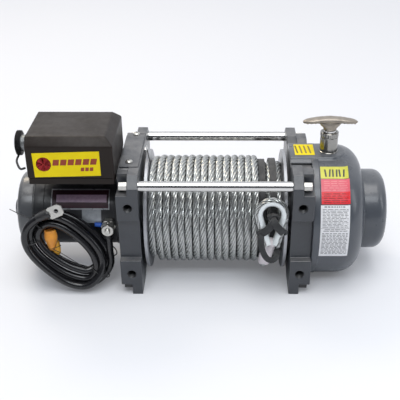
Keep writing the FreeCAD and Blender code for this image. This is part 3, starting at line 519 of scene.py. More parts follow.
def soften(label, width):
    """Round the sharp edges of a carried-over node with modifiers."""
    thing = cad[label]
    weld = thing.modifiers.new("weld", "WELD")
    weld.merge_threshold = 0.00002
    flat = thing.modifiers.new("flat", "DECIMATE")
    flat.decimate_type = "DISSOLVE"
    flat.angle_limit = math.radians(0.5)
    edge = thing.modifiers.new("rounding", "BEVEL")
    edge.width = width * MM
    edge.segments = 2
    edge.limit_method = "ANGLE"
    edge.angle_limit = math.radians(30)


ROUNDING = {"motor_side_support": 1.3, "gear_side_support": 1.3, "support_cover_plate": 0.5,
            "control_box_cover": 1.6, "control_box_base": 0.8, "control_box_bracket": 0.5,
            "motor_terminal": 0.8, "foot_nuts": 0.6, "tie_rod_bolts": 0.6}
for label, width in ROUNDING.items():
    soften(label, width)

# Camera as the photograph's
CAMERA_PLACE = (0.01316, -0.95735, 0.60486)
CAMERA_DOWN = math.radians(29.095)
CAMERA_ROLL = 0.0023374
camera_data = bpy.data.cameras.new("camera")
camera_data.sensor_width = 36.0
camera_data.lens = 68.83
camera_data.shift_x = -0.06131
camera = show("camera", camera_data)
camera.location = CAMERA_PLACE
camera.rotation_euler = (Matrix.Rotation(math.pi / 2 - CAMERA_DOWN, 3, "X")
                         @ Matrix.Rotation(CAMERA_ROLL, 3, "Z")).to_euler()
bpy.context.scene.camera = camera

# Floor: pale cloth that stays bright for the camera and keeps the winch's shadow
FLOOR_GLOW = 0.12
FLOOR_CORNERS = [(-6, -4), (6, -4), (6, 9), (-6, 9)]
floor_mesh = bpy.data.meshes.new("floor")
floor_mesh.from_pydata([(x, y, FLOOR * MM) for x, y in FLOOR_CORNERS], [], [(0, 1, 2, 3)])
floor = show("floor", floor_mesh)
floor_paint = bpy.data.materials.new("pale_cloth")
floor_paint.use_nodes = True
cloth = Nodes(floor_paint.node_tree)
lit = cloth.tree.nodes["Principled BSDF"]
cloth.feed(lit.inputs["Base Color"], (0.74, 0.748, 0.774))
cloth.feed(lit.inputs["Roughness"], 0.9)
glow = cloth.node("ShaderNodeEmission")
cloth.feed(glow.inputs["Color"], (0.93, 0.94, 0.98))
cloth.feed(glow.inputs["Strength"], 1.0)
seen = cloth.node("ShaderNodeLightPath").outputs["Is Camera Ray"]
cloth.mix_surfaces(cloth.math("MULTIPLY", seen, FLOOR_GLOW), lit, glow, "Material Output")
floor_mesh.materials.append(floor_paint)

# World: a sky that is bright behind and above, and a plain pale backdrop for the camera
SKY = [(0.0, (0.10, 0.105, 0.12, 1)), (0.22, (0.22, 0.23, 0.26, 1)), (0.62, (0.84, 0.87, 0.93, 1))]
world = bpy.data.worlds.new("studio")
bpy.context.scene.world = world
world.use_nodes = True
studio = Nodes(world.node_tree)
ambient = studio.tree.nodes["Background"]
ambient.inputs["Strength"].default_value = 1.0
bright_way = studio.node("ShaderNodeVectorMath", operation="DOT_PRODUCT")
bright_way.inputs[1].default_value = (0.12, 0.74, 0.66)
studio.link(studio.node("ShaderNodeTexCoord").outputs["Generated"], bright_way.inputs[0])
sky = studio.node("ShaderNodeValToRGB")
sky.color_ramp.elements.new(SKY[1][0])
for stop, (position, colour) in zip(sky.color_ramp.elements, SKY):
    stop.position = position
    stop.color = colour
studio.link(bright_way.outputs["Value"], sky.inputs["Fac"])
studio.link(sky.outputs["Color"], ambient.inputs["Color"])
backdrop = studio.node("ShaderNodeBackground")
studio.feed(backdrop.inputs["Color"], (0.95, 0.955, 0.985))
studio.feed(backdrop.inputs["Strength"], 1.0)
rays = studio.node("ShaderNodeLightPath").outputs
shown = studio.math("MAXIMUM", rays["Is Camera Ray"], rays["Is Transmission Ray"])
studio.mix_surfaces(shown, ambient, backdrop, "World Output")


def add_window(name, place, aim_at, size, power, tint):
    data = bpy.data.lights.new(name, "AREA")
    data.shape = "RECTANGLE"
    data.size, data.size_y = size
    data.energy = power
    data.color = tint
    lamp = show(name, data)
    lamp.location = place
    lamp.rotation_euler = (Vector(aim_at) - Vector(place)).to_track_quat("-Z", "Y").to_euler()


def add_daylight(name, comes_from, strength, spread, tint):
    """Soft daylight that falls evenly over the whole floor."""
    data = bpy.data.lights.new(name, "SUN")
    data.energy = strength
    data.angle = spread
    data.color = tint
    show(name, data).rotation_euler = Vector(comes_from).to_track_quat("Z", "Y").to_euler()


add_daylight("daylight", (0.0, -0.08, 1.0), 1.2, math.radians(36), (1.0, 0.985, 0.965))
add_window("front_window", (0.0, -1.25, 1.9), (0, 0, 0.05), (2.0, 0.7), 22.0, (0.92, 0.96, 1.0))
add_window("back_lamp", (-0.85, 1.25, 1.6), (-0.25, 0.1, 0), (0.7, 0.5), 9.0, (1.0, 0.86, 0.66))
add_window("right_window", (2.0, -0.6, 0.9), (0.1, 0.1, 0), (0.6, 1.2), 7.0, (0.94, 0.97, 1.0))

# Battery lead: the coil's frame has x along the drum, up its leaning face, and out to the front
LEAN = math.radians(9.5)
TILT = math.radians(43.0)
COIL_BASE = Vector((-225.5, 25.5, -28.06))
HALF_LENGTH = 60.5
HALF_WIDTH = 37.0
FULLNESS = 2.3
COIL_TURN = Matrix.Rotation(-LEAN, 3, "X")
COIL_OUT = COIL_TURN @ Vector((0, -1, 0))


def on_coil(x, up, out):
    return COIL_BASE + COIL_TURN @ Vector((x, -out, up))


def oval(angle, away=0.0):
    """A point of the coil's middle line as (x, up), clockwise, moved outwards by away."""
    power = 2 / FULLNESS

    def corner(turn):
        return Vector((squared_off(math.cos(turn), power) * HALF_LENGTH,
                       -squared_off(math.sin(turn), power) * HALF_WIDTH))

    ahead = (corner(angle + 0.04) - corner(angle - 0.04)).normalized()
    place = corner(angle) + Vector((-ahead.y, ahead.x)) * away
    return (place.x * math.cos(TILT) + place.y * math.sin(TILT),
            place.y * math.cos(TILT) - place.x * math.sin(TILT))


def ease(value, start, end):
    share = min(max((value - start) / (end - start), 0.0), 1.0)
    return share * share * (3 - 2 * share)


# Where each lap of the lead lies in the bundle, as (outwards, to the front):
# closely packed on the left, and fanned out on the right
PACKED_LAPS = [(6.5, -5.75), (-5.0, -5.75), (-7.5, 5.0), (5.0, 6.5), (1.5, 16.4)]
FANNED_LAPS = [(9.2, -5.0), (-5.5, -7.0), (-10.5, 4.5), (1.2, 6.6), (1.5, 16.6)]
OPEN_LAPS = [(9.0, -4.5), (-16.5, -5.5), (-19.5, 6.0), (-4.5, 4.5), (5.5, 13.0)]
COIL_START = math.radians(-46)
COIL_TURNS = 4.64
STEPS_A_LAP = 24


def near_angle(angle, middle_deg, spread_deg):
    """One at that angle of the oval, fading to nought away from it."""
    away = math.remainder(angle - math.radians(middle_deg), 2 * math.pi) / math.radians(spread_deg)
    return math.exp(-away * away)


def lap_place(number, angle):
    fan = 1 - near_angle(angle, 205, 60)
    place = Vector(PACKED_LAPS[number]).lerp(Vector(FANNED_LAPS[number]), fan)
    return place.lerp(Vector(OPEN_LAPS[number]), near_angle(angle, 52, 52))


def bundle_place(turns):
    """Where the lead lies in the bundle after that many laps."""
    angle = COIL_START + turns * 2 * math.pi
    lap = min(int(turns), 4)
    here = lap_place(lap, angle)
    if lap and turns - lap < 0.2:
        here = lap_place(lap - 1, angle).lerp(here, ease(turns, lap, lap + 0.2))
    if turns < 0.12:
        here = Vector((13.2, -3.1)).lerp(here, ease(turns, 0, 0.12))
    return here.lerp(Vector((8.6, 17.05)), ease(turns, 4.3, 4.62))


LEAD_ROUTE = [Vector((-163.0, 30.65, -9.75)), Vector((-162.4, 30.2, -20.5)),
              Vector((-162.8, 28.2, -31.0))]
lead_points = list(LEAD_ROUTE)
for step in range(1, int(COIL_TURNS * STEPS_A_LAP) + 1):
    turns = step / STEPS_A_LAP
    away, front = bundle_place(turns)
    lead_points.append(on_coil(*oval(COIL_START + turns * 2 * math.pi, away), front))
# The lead's end runs straight into the lug; the laps stop where it can bend into that line
LUG_OUT = 17.05
STRAIGHT_RUN = 12
BEND_ROOM = 24
BEND_AHEAD = 14
lug_start = on_coil(-15.0, 66.2, LUG_OUT)
lug_back = on_coil(-38.5, 56.2, LUG_OUT)
lug_heading = (lug_start - lug_back).normalized()
lead_end = lug_start - lug_heading * STRAIGHT_RUN


def too_near(point):
    away = point - lead_end
    return away.length < BEND_ROOM or away.dot(lug_heading) > -BEND_AHEAD


while too_near(lead_points[-1]):
    lead_points.pop()
lead_points += [lead_end - lug_heading * STRAIGHT_RUN, lead_end]


def round_cord(name, points, diameter, finish):
    """A round cord along a smooth line with these control points, in millimetres."""
    data = bpy.data.curves.new(name, "CURVE")
    data.dimensions = "3D"
    line = data.splines.new("NURBS")
    line.points.add(len(points) - 1)
    for control, point in zip(line.points, points):
        control.co = (*(Vector(point) * MM), 1.0)
    line.order_u = 3
    line.use_endpoint_u = True
    line.resolution_u = 6
    data.bevel_depth = diameter / 2 * MM
    data.bevel_resolution = 5
    data.use_fill_caps = True
    data.materials.append(FINISHES[finish])
    return show(name, data)


lead = round_cord("battery_lead", lead_points, LEAD_D, "lead sheath")
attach(lead, "frame")
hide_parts("battery_lead_coil", "battery_lead_tube")


LUG_TONGUE = [(-6, -7.6), (-4, -9.2), (12.0, -9.2), (16.3, -5.6), (16.6, 4.6), (12.2, 9.2), (-4, 9.2),
              (-6, 7.6)]
LUG_THICK = 2.5
LUG_RISE = 2.2
LUG_HOLE_AT = Vector((6.5, 0.3))
LUG_HOLE_R = 3.4
LUG_SLEEVE = [(4.5, 3.0), (4.5, 5.8, 1), (8, 6.6, 2), (18, 6.5, 3), (26, 6.1), (26, 5)]


def lug_skins():
    """The lead's ring lug: a tongue with a hole, and a black sleeve over its barrel."""
    side = COIL_OUT.cross(lug_heading).normalized()
    outline = []
    for here, after in zip(LUG_TONGUE, LUG_TONGUE[1:] + LUG_TONGUE[:1]):
        outline.extend(Vector(here) + (Vector(after) - Vector(here)) * step / 3 for step in range(3))
    hole = [LUG_HOLE_AT + (point - LUG_HOLE_AT).normalized() * LUG_HOLE_R for point in outline]
    half = LUG_THICK / 2
    levels = []
    for ring, height in ((outline, half), (outline, -half), (hole, -half), (hole, half)):
        levels.append([lug_start + lug_heading * spot.x + side * spot.y + COIL_OUT * (height + LUG_RISE)
                       for spot in ring])
    sleeve = turned(lug_start, -lug_heading, rounded(LUG_SLEEVE), 28)
    return [("zinc plate", skin(levels, ring=True)), ("shrink sleeve", sleeve)]


make_piece("lead_ring_lug", "frame", lug_skins(), instead_of=("lead_end_lug",))


def boot_skin(start, end, profile, flat, wobble, seed):
    """A soft rubber boot along a line, a little lumpy."""
    heading = end - start
    length = heading.length
    heading.normalize()
    side = COIL_OUT.cross(heading).normalized()
    front = heading.cross(side)
    phase = random.Random(seed).uniform(0, 6)
    loops = []
    for along, radius in profile:
        loops.append([start + heading * (along * length)
                      + (side * math.cos(turn) + front * math.sin(turn) * flat) * radius
                      * (1 + wobble * math.sin(3 * turn + phase + along * 4))
                      for turn in round_turns(32)])
    return skin(loops)


ORANGE_BOOT = [(0.0, 2.9), (0.03, 4.3), (0.12, 5.2), (0.3, 7.2), (0.5, 9.2), (0.66, 10.0), (0.8, 9.6),
               (0.9, 8.7), (0.95, 9.0), (0.985, 8.5), (1.0, 7.6), (0.99, 6.6), (0.93, 6.0)]
YELLOW_BOOT = [(0.0, 3.2), (0.08, 4.6), (0.3, 6.2), (0.55, 7.7), (0.75, 8.1), (0.9, 7.6),
               (0.97, 6.6), (1.0, 4.6)]
make_piece("orange_boot_shell", "frame", [
    ("orange rubber", boot_skin(on_coil(-22.6, 0.4, 4.4), on_coil(-24.4, 32.8, 4.4), ORANGE_BOOT,
                                0.92, 0.045, 3))], instead_of=("orange_boot",))
make_piece("yellow_boot_shell", "frame", [
    ("yellow rubber", boot_skin(on_coil(-17.4, 11.0, -4.9), on_coil(-21.0, -10.5, -4.9), YELLOW_BOOT,
                                0.95, 0.04, 5))], instead_of=("yellow_boot",))


def tie_line(angle_deg, reach_away, reach_out, middle_out):
    """A closed thin tie round the bundle at that angle of the oval."""
    angle = math.radians(angle_deg)
    return [on_coil(*oval(angle, reach_away * math.cos(turn)), middle_out + reach_out * math.sin(turn))
            for turn in round_turns(24, 1)]


tie_tail = smooth_line([on_coil(-39.5, 49.0, 13.5), on_coil(-50.0, 55.0, 14.0),
                        on_coil(-66.0, 62.0, 13.0), on_coil(-80.0, 68.5, 11.0)])
boot_tail = smooth_line([on_coil(-20.0, 3.0, 9.0), on_coil(-8.0, -3.0, 10.0),
                         on_coil(8.0, -13.0, 12.0), on_coil(22.0, -22.0, 13.0)])
boot_loop = [on_coil(-20.0 + 9.6 * math.cos(turn), 3.6 + 2.6 * math.cos(turn) + 1.2 * math.sin(turn),
                     1.5 + 7.5 * math.sin(turn)) for turn in round_turns(20, 1)]
make_piece("coil_ties", "frame", [
    ("tie wire", tube(tie_line(186, 12.6, 14.0, 2.0), 0.9)),
    ("tie wire", tube(tie_line(140, 13.2, 14.6, 4.5), 0.9)),
    ("tie wire", tube(tie_line(352, 15.4, 14.0, 1.0), 0.8)),
    ("tie wire", tube(tie_tail, 0.6)), ("tie wire", tube(boot_tail, 0.5)),
    ("tie wire", tube(boot_loop, 0.6))])
make_piece("motor_side_wires", "frame", [
    ("blue sleeve", turned((-184.5, 42.0, 5.5), (1, 0.05, -0.06),
                           rounded([(0, 1.5), (0, 3.4, 1), (9, 3.7, 1), (11, 2.4)]), 20)),
    ("tie wire", tube(smooth_line([(-177, 43, 4.6), (-170, 44, 2.0), (-166, 45, -3.0)]), 1.6)),
    ("tie wire", tube(smooth_line([(-171, 46, -32), (-162, 41, -31), (-155, 39, -37), (-154, 40, -46),
                                   (-160, 43, -52)]), 0.9))])

# Rope: six strands laid round each other, as one lobed skin
STRANDS = 6
ROPE_LAY = 6.2


def rope_ring(centre, side, up, radius, twist):
    """One lobed ring of the rope at a point of its line."""
    strand = radius / 3
    reach = 2 * strand
    ring = []
    for number in range(STRANDS):
        for share in (-0.5, -0.37, -0.14, 0.14, 0.37):
            angle = share * 2 * math.pi / STRANDS
            bulge = math.sqrt(max(strand ** 2 - (reach * math.sin(angle)) ** 2, 0))
            length = reach * math.cos(angle) + bulge
            turn = twist + number * 2 * math.pi / STRANDS + angle
            ring.append(centre + side * (length * math.cos(turn)) + up * (length * math.sin(turn)))
    return ring


def laid_rope(path, radius, first_side, hand=1.0):
    """A stranded rope along a line of points."""
    lay = radius * 2 * ROPE_LAY
    travelled = 0.0
    loops = []
    for index, (heading, side, up) in enumerate(carried_frames(path, first_side)):
        if index:
            travelled += (path[index] - path[index - 1]).length
        loops.append(rope_ring(path[index], side, up, radius, hand * 2 * math.pi * travelled / lay))
    return skin(loops)


def drum_point(x, radius, angle):
    """A point round the drum; the angle starts at the front and rises over the top."""
    return Vector((x, AXIS_Y - radius * math.cos(angle), AXIS_Z + radius * math.sin(angle)))


def groove_shift(turns):
    """How many grooves along the rope has moved; most of each step is at the back."""
    whole = math.floor(turns)
    return whole + 0.25 * (turns - whole) + 0.75 * ease(turns - whole, 0.3, 0.7)


WRAP_STEPS = 150
OUTER_TURNS = 14
LOW_TURNS = 3
START_ANGLE = math.radians(-40)
DROP_AT = OUTER_TURNS + 0.74
DROP_LONG = 0.24
DROP_SHIFT = 11.4
FIRST_SINK = 2.6


def wrap_point(turns):
    """A point of the wound rope: the outer layer, then the drop to the low wraps at its end."""
    x = -FLANGE_INNER + ROPE_R + ROPE_D * groove_shift(min(turns, OUTER_TURNS))
    x += 0.25 * math.sin(turns * 2.3) + 0.15 * math.sin(turns * 14.7)
    radius = PACK_R - ROPE_R - FIRST_SINK * (1 - ease(turns, 0.15, 0.95)) + 0.3 * math.sin(turns * 5.1)
    if turns > DROP_AT:
        dropped = ease(turns, DROP_AT, DROP_AT + DROP_LONG)
        radius += (LOW_R - PACK_R) * dropped
        x += DROP_SHIFT * dropped + ROPE_D * groove_shift(max(turns - OUTER_TURNS - 1, 0.0))
    return drum_point(min(x, FLANGE_INNER - ROPE_R), radius, START_ANGLE + turns * 2 * math.pi)


wound = [wrap_point(step / WRAP_STEPS) for step in range((OUTER_TURNS + 1 + LOW_TURNS) * WRAP_STEPS)]
layer_long = ROPE_D * (OUTER_TURNS + 1)
under_high = PACK_R - 9.2
under_low = LOW_R - 8.6
under = [("rope shadow", along_drum(-FLANGE_INNER, [
    (0, 50), (0, under_high), (layer_long, under_high), (layer_long, under_low),
    (2 * FLANGE_INNER, under_low), (2 * FLANGE_INNER, 50)], 72))]
make_piece("wound_rope", "drum", [("galvanised", laid_rope(wound, ROPE_R, (1, 0, 0)))] + under,
           instead_of=("rope_pack",))


def webbing_band(start, width, inner, outer):
    """One turn of webbing round the drum, ribbed lengthwise."""
    ribs = 7
    edges = [(start + width * (rib + share) / ribs, outer + rise)
             for rib in range(ribs) for share, rise in ((0.12, -0.35), (0.5, 0.0), (0.88, -0.35))]
    profile = [(start, inner)] + edges + [(start + width, inner)]
    loops = []
    for turn in round_turns(96):
        swell = 0.35 * math.sin(-5 * turn) + 0.25 * math.sin(1 - 11 * turn)
        loops.append([drum_point(x, radius + (swell if radius > inner else 0), -turn)
                      for x, radius in profile])
    return skin(loops, ring=True)


low_top = LOW_R + 0.3
make_piece("webbing_bands", "drum", [
    ("strap webbing", webbing_band(left, 10.5, low_top, low_top + thick))
    for left, thick in ((64.8, 3.6), (81.3, 5.2))], instead_of=("hold_strap",))

# Rope end. The eye's frame has x along the drum, up along the eye, and out from the drum
EYE_LEAN = math.radians(11.0)
EYE_CENTRE = Vector((82.7, 10.28, 42.64))
EYE_UP = Vector((0, math.sin(EYE_LEAN), math.cos(EYE_LEAN)))
EYE_OUT = Vector((0, -math.cos(EYE_LEAN), math.sin(EYE_LEAN)))


def on_eye(across, up, out=0.0):
    return EYE_CENTRE + Vector((across, 0, 0)) + EYE_UP * up + EYE_OUT * out


def teardrop(bend_radius, toe_half_width, drop, steps, leg_steps):
    """The line of the eye as (across, up): up the left leg, round the bend, down the right."""
    distance = math.hypot(drop, toe_half_width)
    reach = math.acos(bend_radius / distance) + math.atan2(toe_half_width, drop)
    bend = [math.pi * 1.5 - reach - (2 * math.pi - 2 * reach) * step / steps for step in range(steps + 1)]
    arc = [Vector((bend_radius * math.cos(turn), bend_radius * math.sin(turn))) for turn in bend]
    left = Vector((-toe_half_width, -drop))
    right = Vector((toe_half_width, -drop))
    return ([left.lerp(arc[0], step / leg_steps) for step in range(leg_steps)] + arc
            + [arc[-1].lerp(right, step / leg_steps) for step in range(1, leg_steps + 1)])


EYE_BEND = 20.5
EYE_ROPE_R = 5.15
eye_path = [on_eye(point.x, point.y, 0.6 * math.sin(index * 0.25))
            for index, point in enumerate(teardrop(EYE_BEND, 7.6, 50.0, 60, 16))]
make_piece("eye_rope", "drum", [("galvanised", laid_rope(eye_path, EYE_ROPE_R, (0, -1, 0)))],
           instead_of=("rope_eye",))


THIMBLE_BEND = 13.4


def thimble_skin():
    """A pressed channel round the inside of the eye."""
    wall = 1.4
    outer = [(7.2, 7.4), (3.6, 7.2), (1.2, 6.2), (0.1, 3.6), (0, 0)]
    inner = [(wall, 0), (wall + 0.1, 3.0), (wall + 0.9, 4.8), (3.8, 5.7), (7.2, 6.0)]
    outline = ([(left, -out) for left, out in outer] + [(left, out) for left, out in reversed(outer[:-1])]
               + [(left, out) for left, out in reversed(inner[1:])] + [(left, -out) for left, out in inner])
    line = teardrop(THIMBLE_BEND, 0.5, 45.0, 48, 10)
    loops = []
    for index, point in enumerate(line):
        heading = (line[min(index + 1, len(line) - 1)] - line[max(index - 1, 0)]).normalized()
        away = Vector((-heading.y, heading.x))
        loops.append([on_eye(*(point + away * left), out) for left, out in outline])
    return skin(loops)


make_piece("eye_thimble", "drum", [("thimble zinc", thimble_skin())], 50, ("thimble",))
FERRULE_X = 73.0
FERRULE_END = drum_point(FERRULE_X, 94.5, math.radians(-32))
FERRULE_R = 6.75
FERRULE_FLAT = 2.75


def ferrule_skin():
    """The swaged ferrule: a flattened sleeve with rounded ends and a pressed seam."""
    top = on_eye(-2.0, -39.5, 0.8)
    run = FERRULE_END - top
    down = run.normalized()
    side = down.cross(EYE_OUT).normalized()
    front = side.cross(down)
    loops = []
    for along, size in ((0.0, 0.74), (0.02, 0.92), (0.07, 1.06), (0.3, 1.08), (0.6, 1.0), (0.93, 1.0),
                        (0.98, 0.93), (1.0, 0.78)):
        loop = []
        for turn in round_turns(40):
            flat = FERRULE_FLAT * math.copysign(min(abs(math.cos(turn)) * 3, 1), math.cos(turn))
            seam = 0.35 * math.exp(-(math.cos(turn) * 5) ** 2)
            loop.append(top + run * along + side * (flat + FERRULE_R * math.cos(turn)) * size
                        + front * (FERRULE_R * math.sin(turn) * (1 - seam * 0.3)) * size)
        loops.append(loop)
    return skin(loops)


make_piece("swaged_ferrule", "drum", [("swaged alloy", ferrule_skin())], 40, ("ferrule",))

# The rope from the ferrule back down to the low wraps
tail_lie = LOW_R + 4 + ROPE_R + 0.6
tail_way = (FERRULE_END - on_eye(0, -52.7)).normalized()
tail_path = [FERRULE_END - tail_way * 6, FERRULE_END + tail_way * 4]
tail_path += [drum_point(FERRULE_X, tail_lie, math.radians(-40 - 7 * step)) for step in range(1, 8)]
tail = laid_rope(smooth_line(tail_path, 6), ROPE_R, (1, 0, 0))
make_piece("rope_to_drum", "drum", [("galvanised", tail)], instead_of=("rope_tail",))


STRAP_THICK = 2.0
ARM_WIDE = 11.6
LOOP_WIDE = 9.0


def strap_skins():
    """The black strap that holds the eye down: two arms over its legs, a knot, and a loose loop."""
    left_arm = [(6, -1, -4), (5.5, -5, 2), (3, -9.5, 7.0), (-2, -15.5, 9.8), (-7.5, -21.0, 10.0),
                (-12.5, -25.5, 9.0), (-16.0, -28.2, 5), (-16.0, -29.5, -2), (-12, -30, -6)]
    right_arm = [(-2, -1, -4), (-0.5, -5, 3), (2.5, -9.5, 9.0), (7.0, -15.5, 11.2), (11.5, -20.5, 10.8),
                 (15.0, -24.5, 9.2), (17.8, -27, 5), (17.5, -28.5, -2), (12, -29, -6)]
    lower = [(-14.5, -28.5, 5), (-16.0, -36, 8.6), (-15.2, -46, 9.8), (-12.4, -56, 10.6),
             (-7.5, -64.5, 10.8), (-1.5, -68.5, 10), (4.0, -68, 8), (7.5, -64.5, 4), (8.5, -61, -2),
             (8, -58, -7)]
    skins = [ribbon([on_eye(*point) for point in smooth_line(line)], width, STRAP_THICK, EYE_OUT)
             for line, width in ((left_arm, ARM_WIDE), (right_arm, ARM_WIDE), (lower, LOOP_WIDE))]
    knot = []
    for row in range(1, 12):
        rise = math.pi * row / 12
        knot.append([on_eye(3.0 + 9.2 * math.sin(rise) * math.cos(turn) * (1 + 0.08 * math.sin(3 * turn)),
                            -6.0 + 6.2 * math.sin(rise) * math.sin(turn),
                            -4.5 * math.cos(rise) + 0.5) for turn in round_turns(24)])
    coil = [on_eye(3.5 + 5.5 * math.cos(turn), -4.5 + 3.8 * math.sin(turn), 4.0 + 0.6 * math.sin(2 * turn))
            for turn in round_turns(24, 1)]
    return [("strap webbing", shape) for shape in skins + [skin(knot), tube(coil, 1.7)]]


make_piece("eye_strap", "drum", strap_skins())

# Gear housing: round, with a rim, its far shoulder rounded, flat on top and shaved under
HOUSING_R = 101.2
RIM_R = 102.4
HOUSING_END = 223.5
HOUSING_LONG = HOUSING_END - OUTER_FACE
HOUSING_ROUND = 36.0
FOOT_ROOM = 0.8
PAD_TOP = FLOOR + 197.0
PAD_HALF = 26.0
PAD_NEAR = 112.0
PAD_WIDE_END = 140.0


def housing_radius(x):
    into = x - (HOUSING_END - HOUSING_ROUND)
    if into <= 0:
        return HOUSING_R
    return HOUSING_R - HOUSING_ROUND + math.sqrt(HOUSING_ROUND ** 2 - into ** 2)


def flattened(shape, low, high):
    """The same skin with its points held between two heights."""
    points, faces = shape
    return [Vector((point.x, point.y, min(max(point.z, low), high))) for point in points], faces


housing_skin = along_drum(OUTER_FACE, rounded([
    (0, 60), (0, RIM_R, 1.5), (9.6, RIM_R, 0.8), (10.4, HOUSING_R, 0.8),
    (HOUSING_LONG, HOUSING_R, HOUSING_ROUND), (HOUSING_LONG, 64.2, 2.4), (HOUSING_LONG + 2.6, 62.2)],
    12), 144)


def pad_outline(inset):
    """The pad's outline from above: straight sides and a round tongue about the clutch."""
    half = PAD_HALF - inset
    line = [Vector((PAD_NEAR, AXIS_Y - half)), Vector((PAD_WIDE_END, AXIS_Y - half))]
    line += [Vector((CLUTCH_X + half * math.sin(turn), AXIS_Y - half * math.cos(turn)))
             for turn in (math.pi * step / 24 for step in range(25))]
    return line + [Vector((PAD_WIDE_END, AXIS_Y + half)), Vector((PAD_NEAR, AXIS_Y + half))]


pad_levels = [(-7.0, -6.2), (-4.2, -5.2), (-2.0, -3.9), (-0.7, -2.6), (0.0, -1.7), (0.5, -0.8),
              (1.3, -0.2), (2.4, 0.0)]
pad_skin = skin([[Vector((*point, PAD_TOP + lift)) for point in pad_outline(inset)]
                 for inset, lift in pad_levels])
make_piece("gear_case", "frame", [
    ("housing paint", flattened(housing_skin, FLOOR + FOOT_ROOM, PAD_TOP - 0.02)),
    ("housing paint", pad_skin)], 30, ("gear_housing",))
COVER_R = 62.5
COVER_LONG = 38
make_piece("gear_cover", "frame", [("housing paint", along_drum(HOUSING_END, rounded([
    (-0.5, 20), (-0.5, 61), (1.0, COVER_R, 1.5), (COVER_LONG, COVER_R, 17), (COVER_LONG, 10, 6),
    (COVER_LONG - 0.6, 0)], 12), 120))],
    30, ("gear_end_cover",))

# Motor: a shell with a joint ring at each end, and a cap with a bearing bump
SHELL_START = -277.0
RING_R = 56.8
SHELL_LONG = 133.4
CAP_START = -316.0
CAP_R = 58.5
CAP_RIM_END = 37.8
make_piece("motor_shell", "frame", [("motor paint", along_drum(SHELL_START, rounded([
    (0, 30), (0, 56.6, 0.6), (15.0, 56.6, 0.5), (15.6, MOTOR_R), (122.0, MOTOR_R), (122.6, RING_R, 0.5),
    (SHELL_LONG, RING_R, 0.5), (SHELL_LONG, 30)], 4), 120))], 30, ("motor_casing",))
make_piece("motor_cap", "frame", [("end cap paint", along_drum(CAP_START, rounded([
    (0, 0), (0, 15.0, 3.5), (13.0, 15.6, 3), (13.0, 40, 2), (13.3, CAP_R, 8), (CAP_RIM_END, CAP_R, 0.8),
    (CAP_RIM_END, 57.2), (39.0, 57.2), (39.0, 30)], 8), 120))], 30, ("motor_end_cap",))


def hex_nut(origin, heading, across, start, end):
    """A hexagon nut with chamfered corners, between two distances along its heading."""
    origin = Vector(origin)
    heading = Vector(heading).normalized()
    side = Vector((1, 0, 0)) if abs(heading.x) < 0.5 else Vector((0, 1, 0))
    side = (side - heading * side.dot(heading)).normalized()
    up = heading.cross(side)
    loops = []
    for along, most in ((start, across * 0.46), (start, across * 0.515), (start + 0.9, across * 0.58),
                        (end - 0.9, across * 0.58), (end, across * 0.515), (end, across * 0.25)):
        loop = []
        for turn in round_turns(48):
            reach = min(across / 2 / math.cos(math.remainder(turn, math.pi / 3)), most)
            loop.append(origin + heading * along + (side * math.cos(turn) + up * math.sin(turn)) * reach)
        loops.append(loop)
    return skin(loops)


TERMINAL_AT = (-162.5, AXIS_Y - MOTOR_R - 7.5, 5.2)
make_piece("terminal_nuts", "frame", [
    ("zinc plate", hex_nut(TERMINAL_AT, (0, -1, 0), 17.5, 0, 7.0)),
    ("zinc plate", hex_nut(TERMINAL_AT, (0, -1, 0), 17.0, 7.6, 14.5)),
    ("zinc plate", turned(TERMINAL_AT, (0, -1, 0), rounded(
        [(14, 4.2)] + [(14.6 + 0.7 * step, 4.2 if step % 2 else 3.7) for step in range(5)]
        + [(18.0, 3.2), (18.0, 0)], 3), 24))], 30)

# Clutch
COLLAR_R = 13.4
KNURL = 0.35
COLLAR_STEPS = 96


def knurled_ring(low, high):
    """A band of fine ridges round the collar."""
    loops = []
    for height in (low, high):
        loop = []
        for tooth in range(COLLAR_STEPS):
            reach = COLLAR_R + (KNURL if tooth % 4 in (1, 2) else 0.0)
            turn = 2 * math.pi * tooth / COLLAR_STEPS
            loop.append(Vector((CLUTCH_X + reach * math.cos(turn), AXIS_Y + reach * math.sin(turn),
                                PAD_TOP + height)))
        loops.append(loop)
    return skin(loops)


collar = turned((CLUTCH_X, AXIS_Y, PAD_TOP), (0, 0, 1), rounded([
    (0, 14.6), (0.6, 14.6, 0.5), (1.2, 13.5), (23.2, COLLAR_R, 0.6), (23.8, 12.9, 0.4),
    (24.6, COLLAR_R, 0.4), (31.2, COLLAR_R, 0.8), (32.0, 11.6), (32.0, 10.3), (26.0, 10.3), (26.0, 0)],
    4), COLLAR_STEPS)
make_piece("clutch_collar", "frame", [("dull chrome", collar), ("dull chrome", knurled_ring(25.2, 31.0))],
           30, ("clutch_sleeve",))


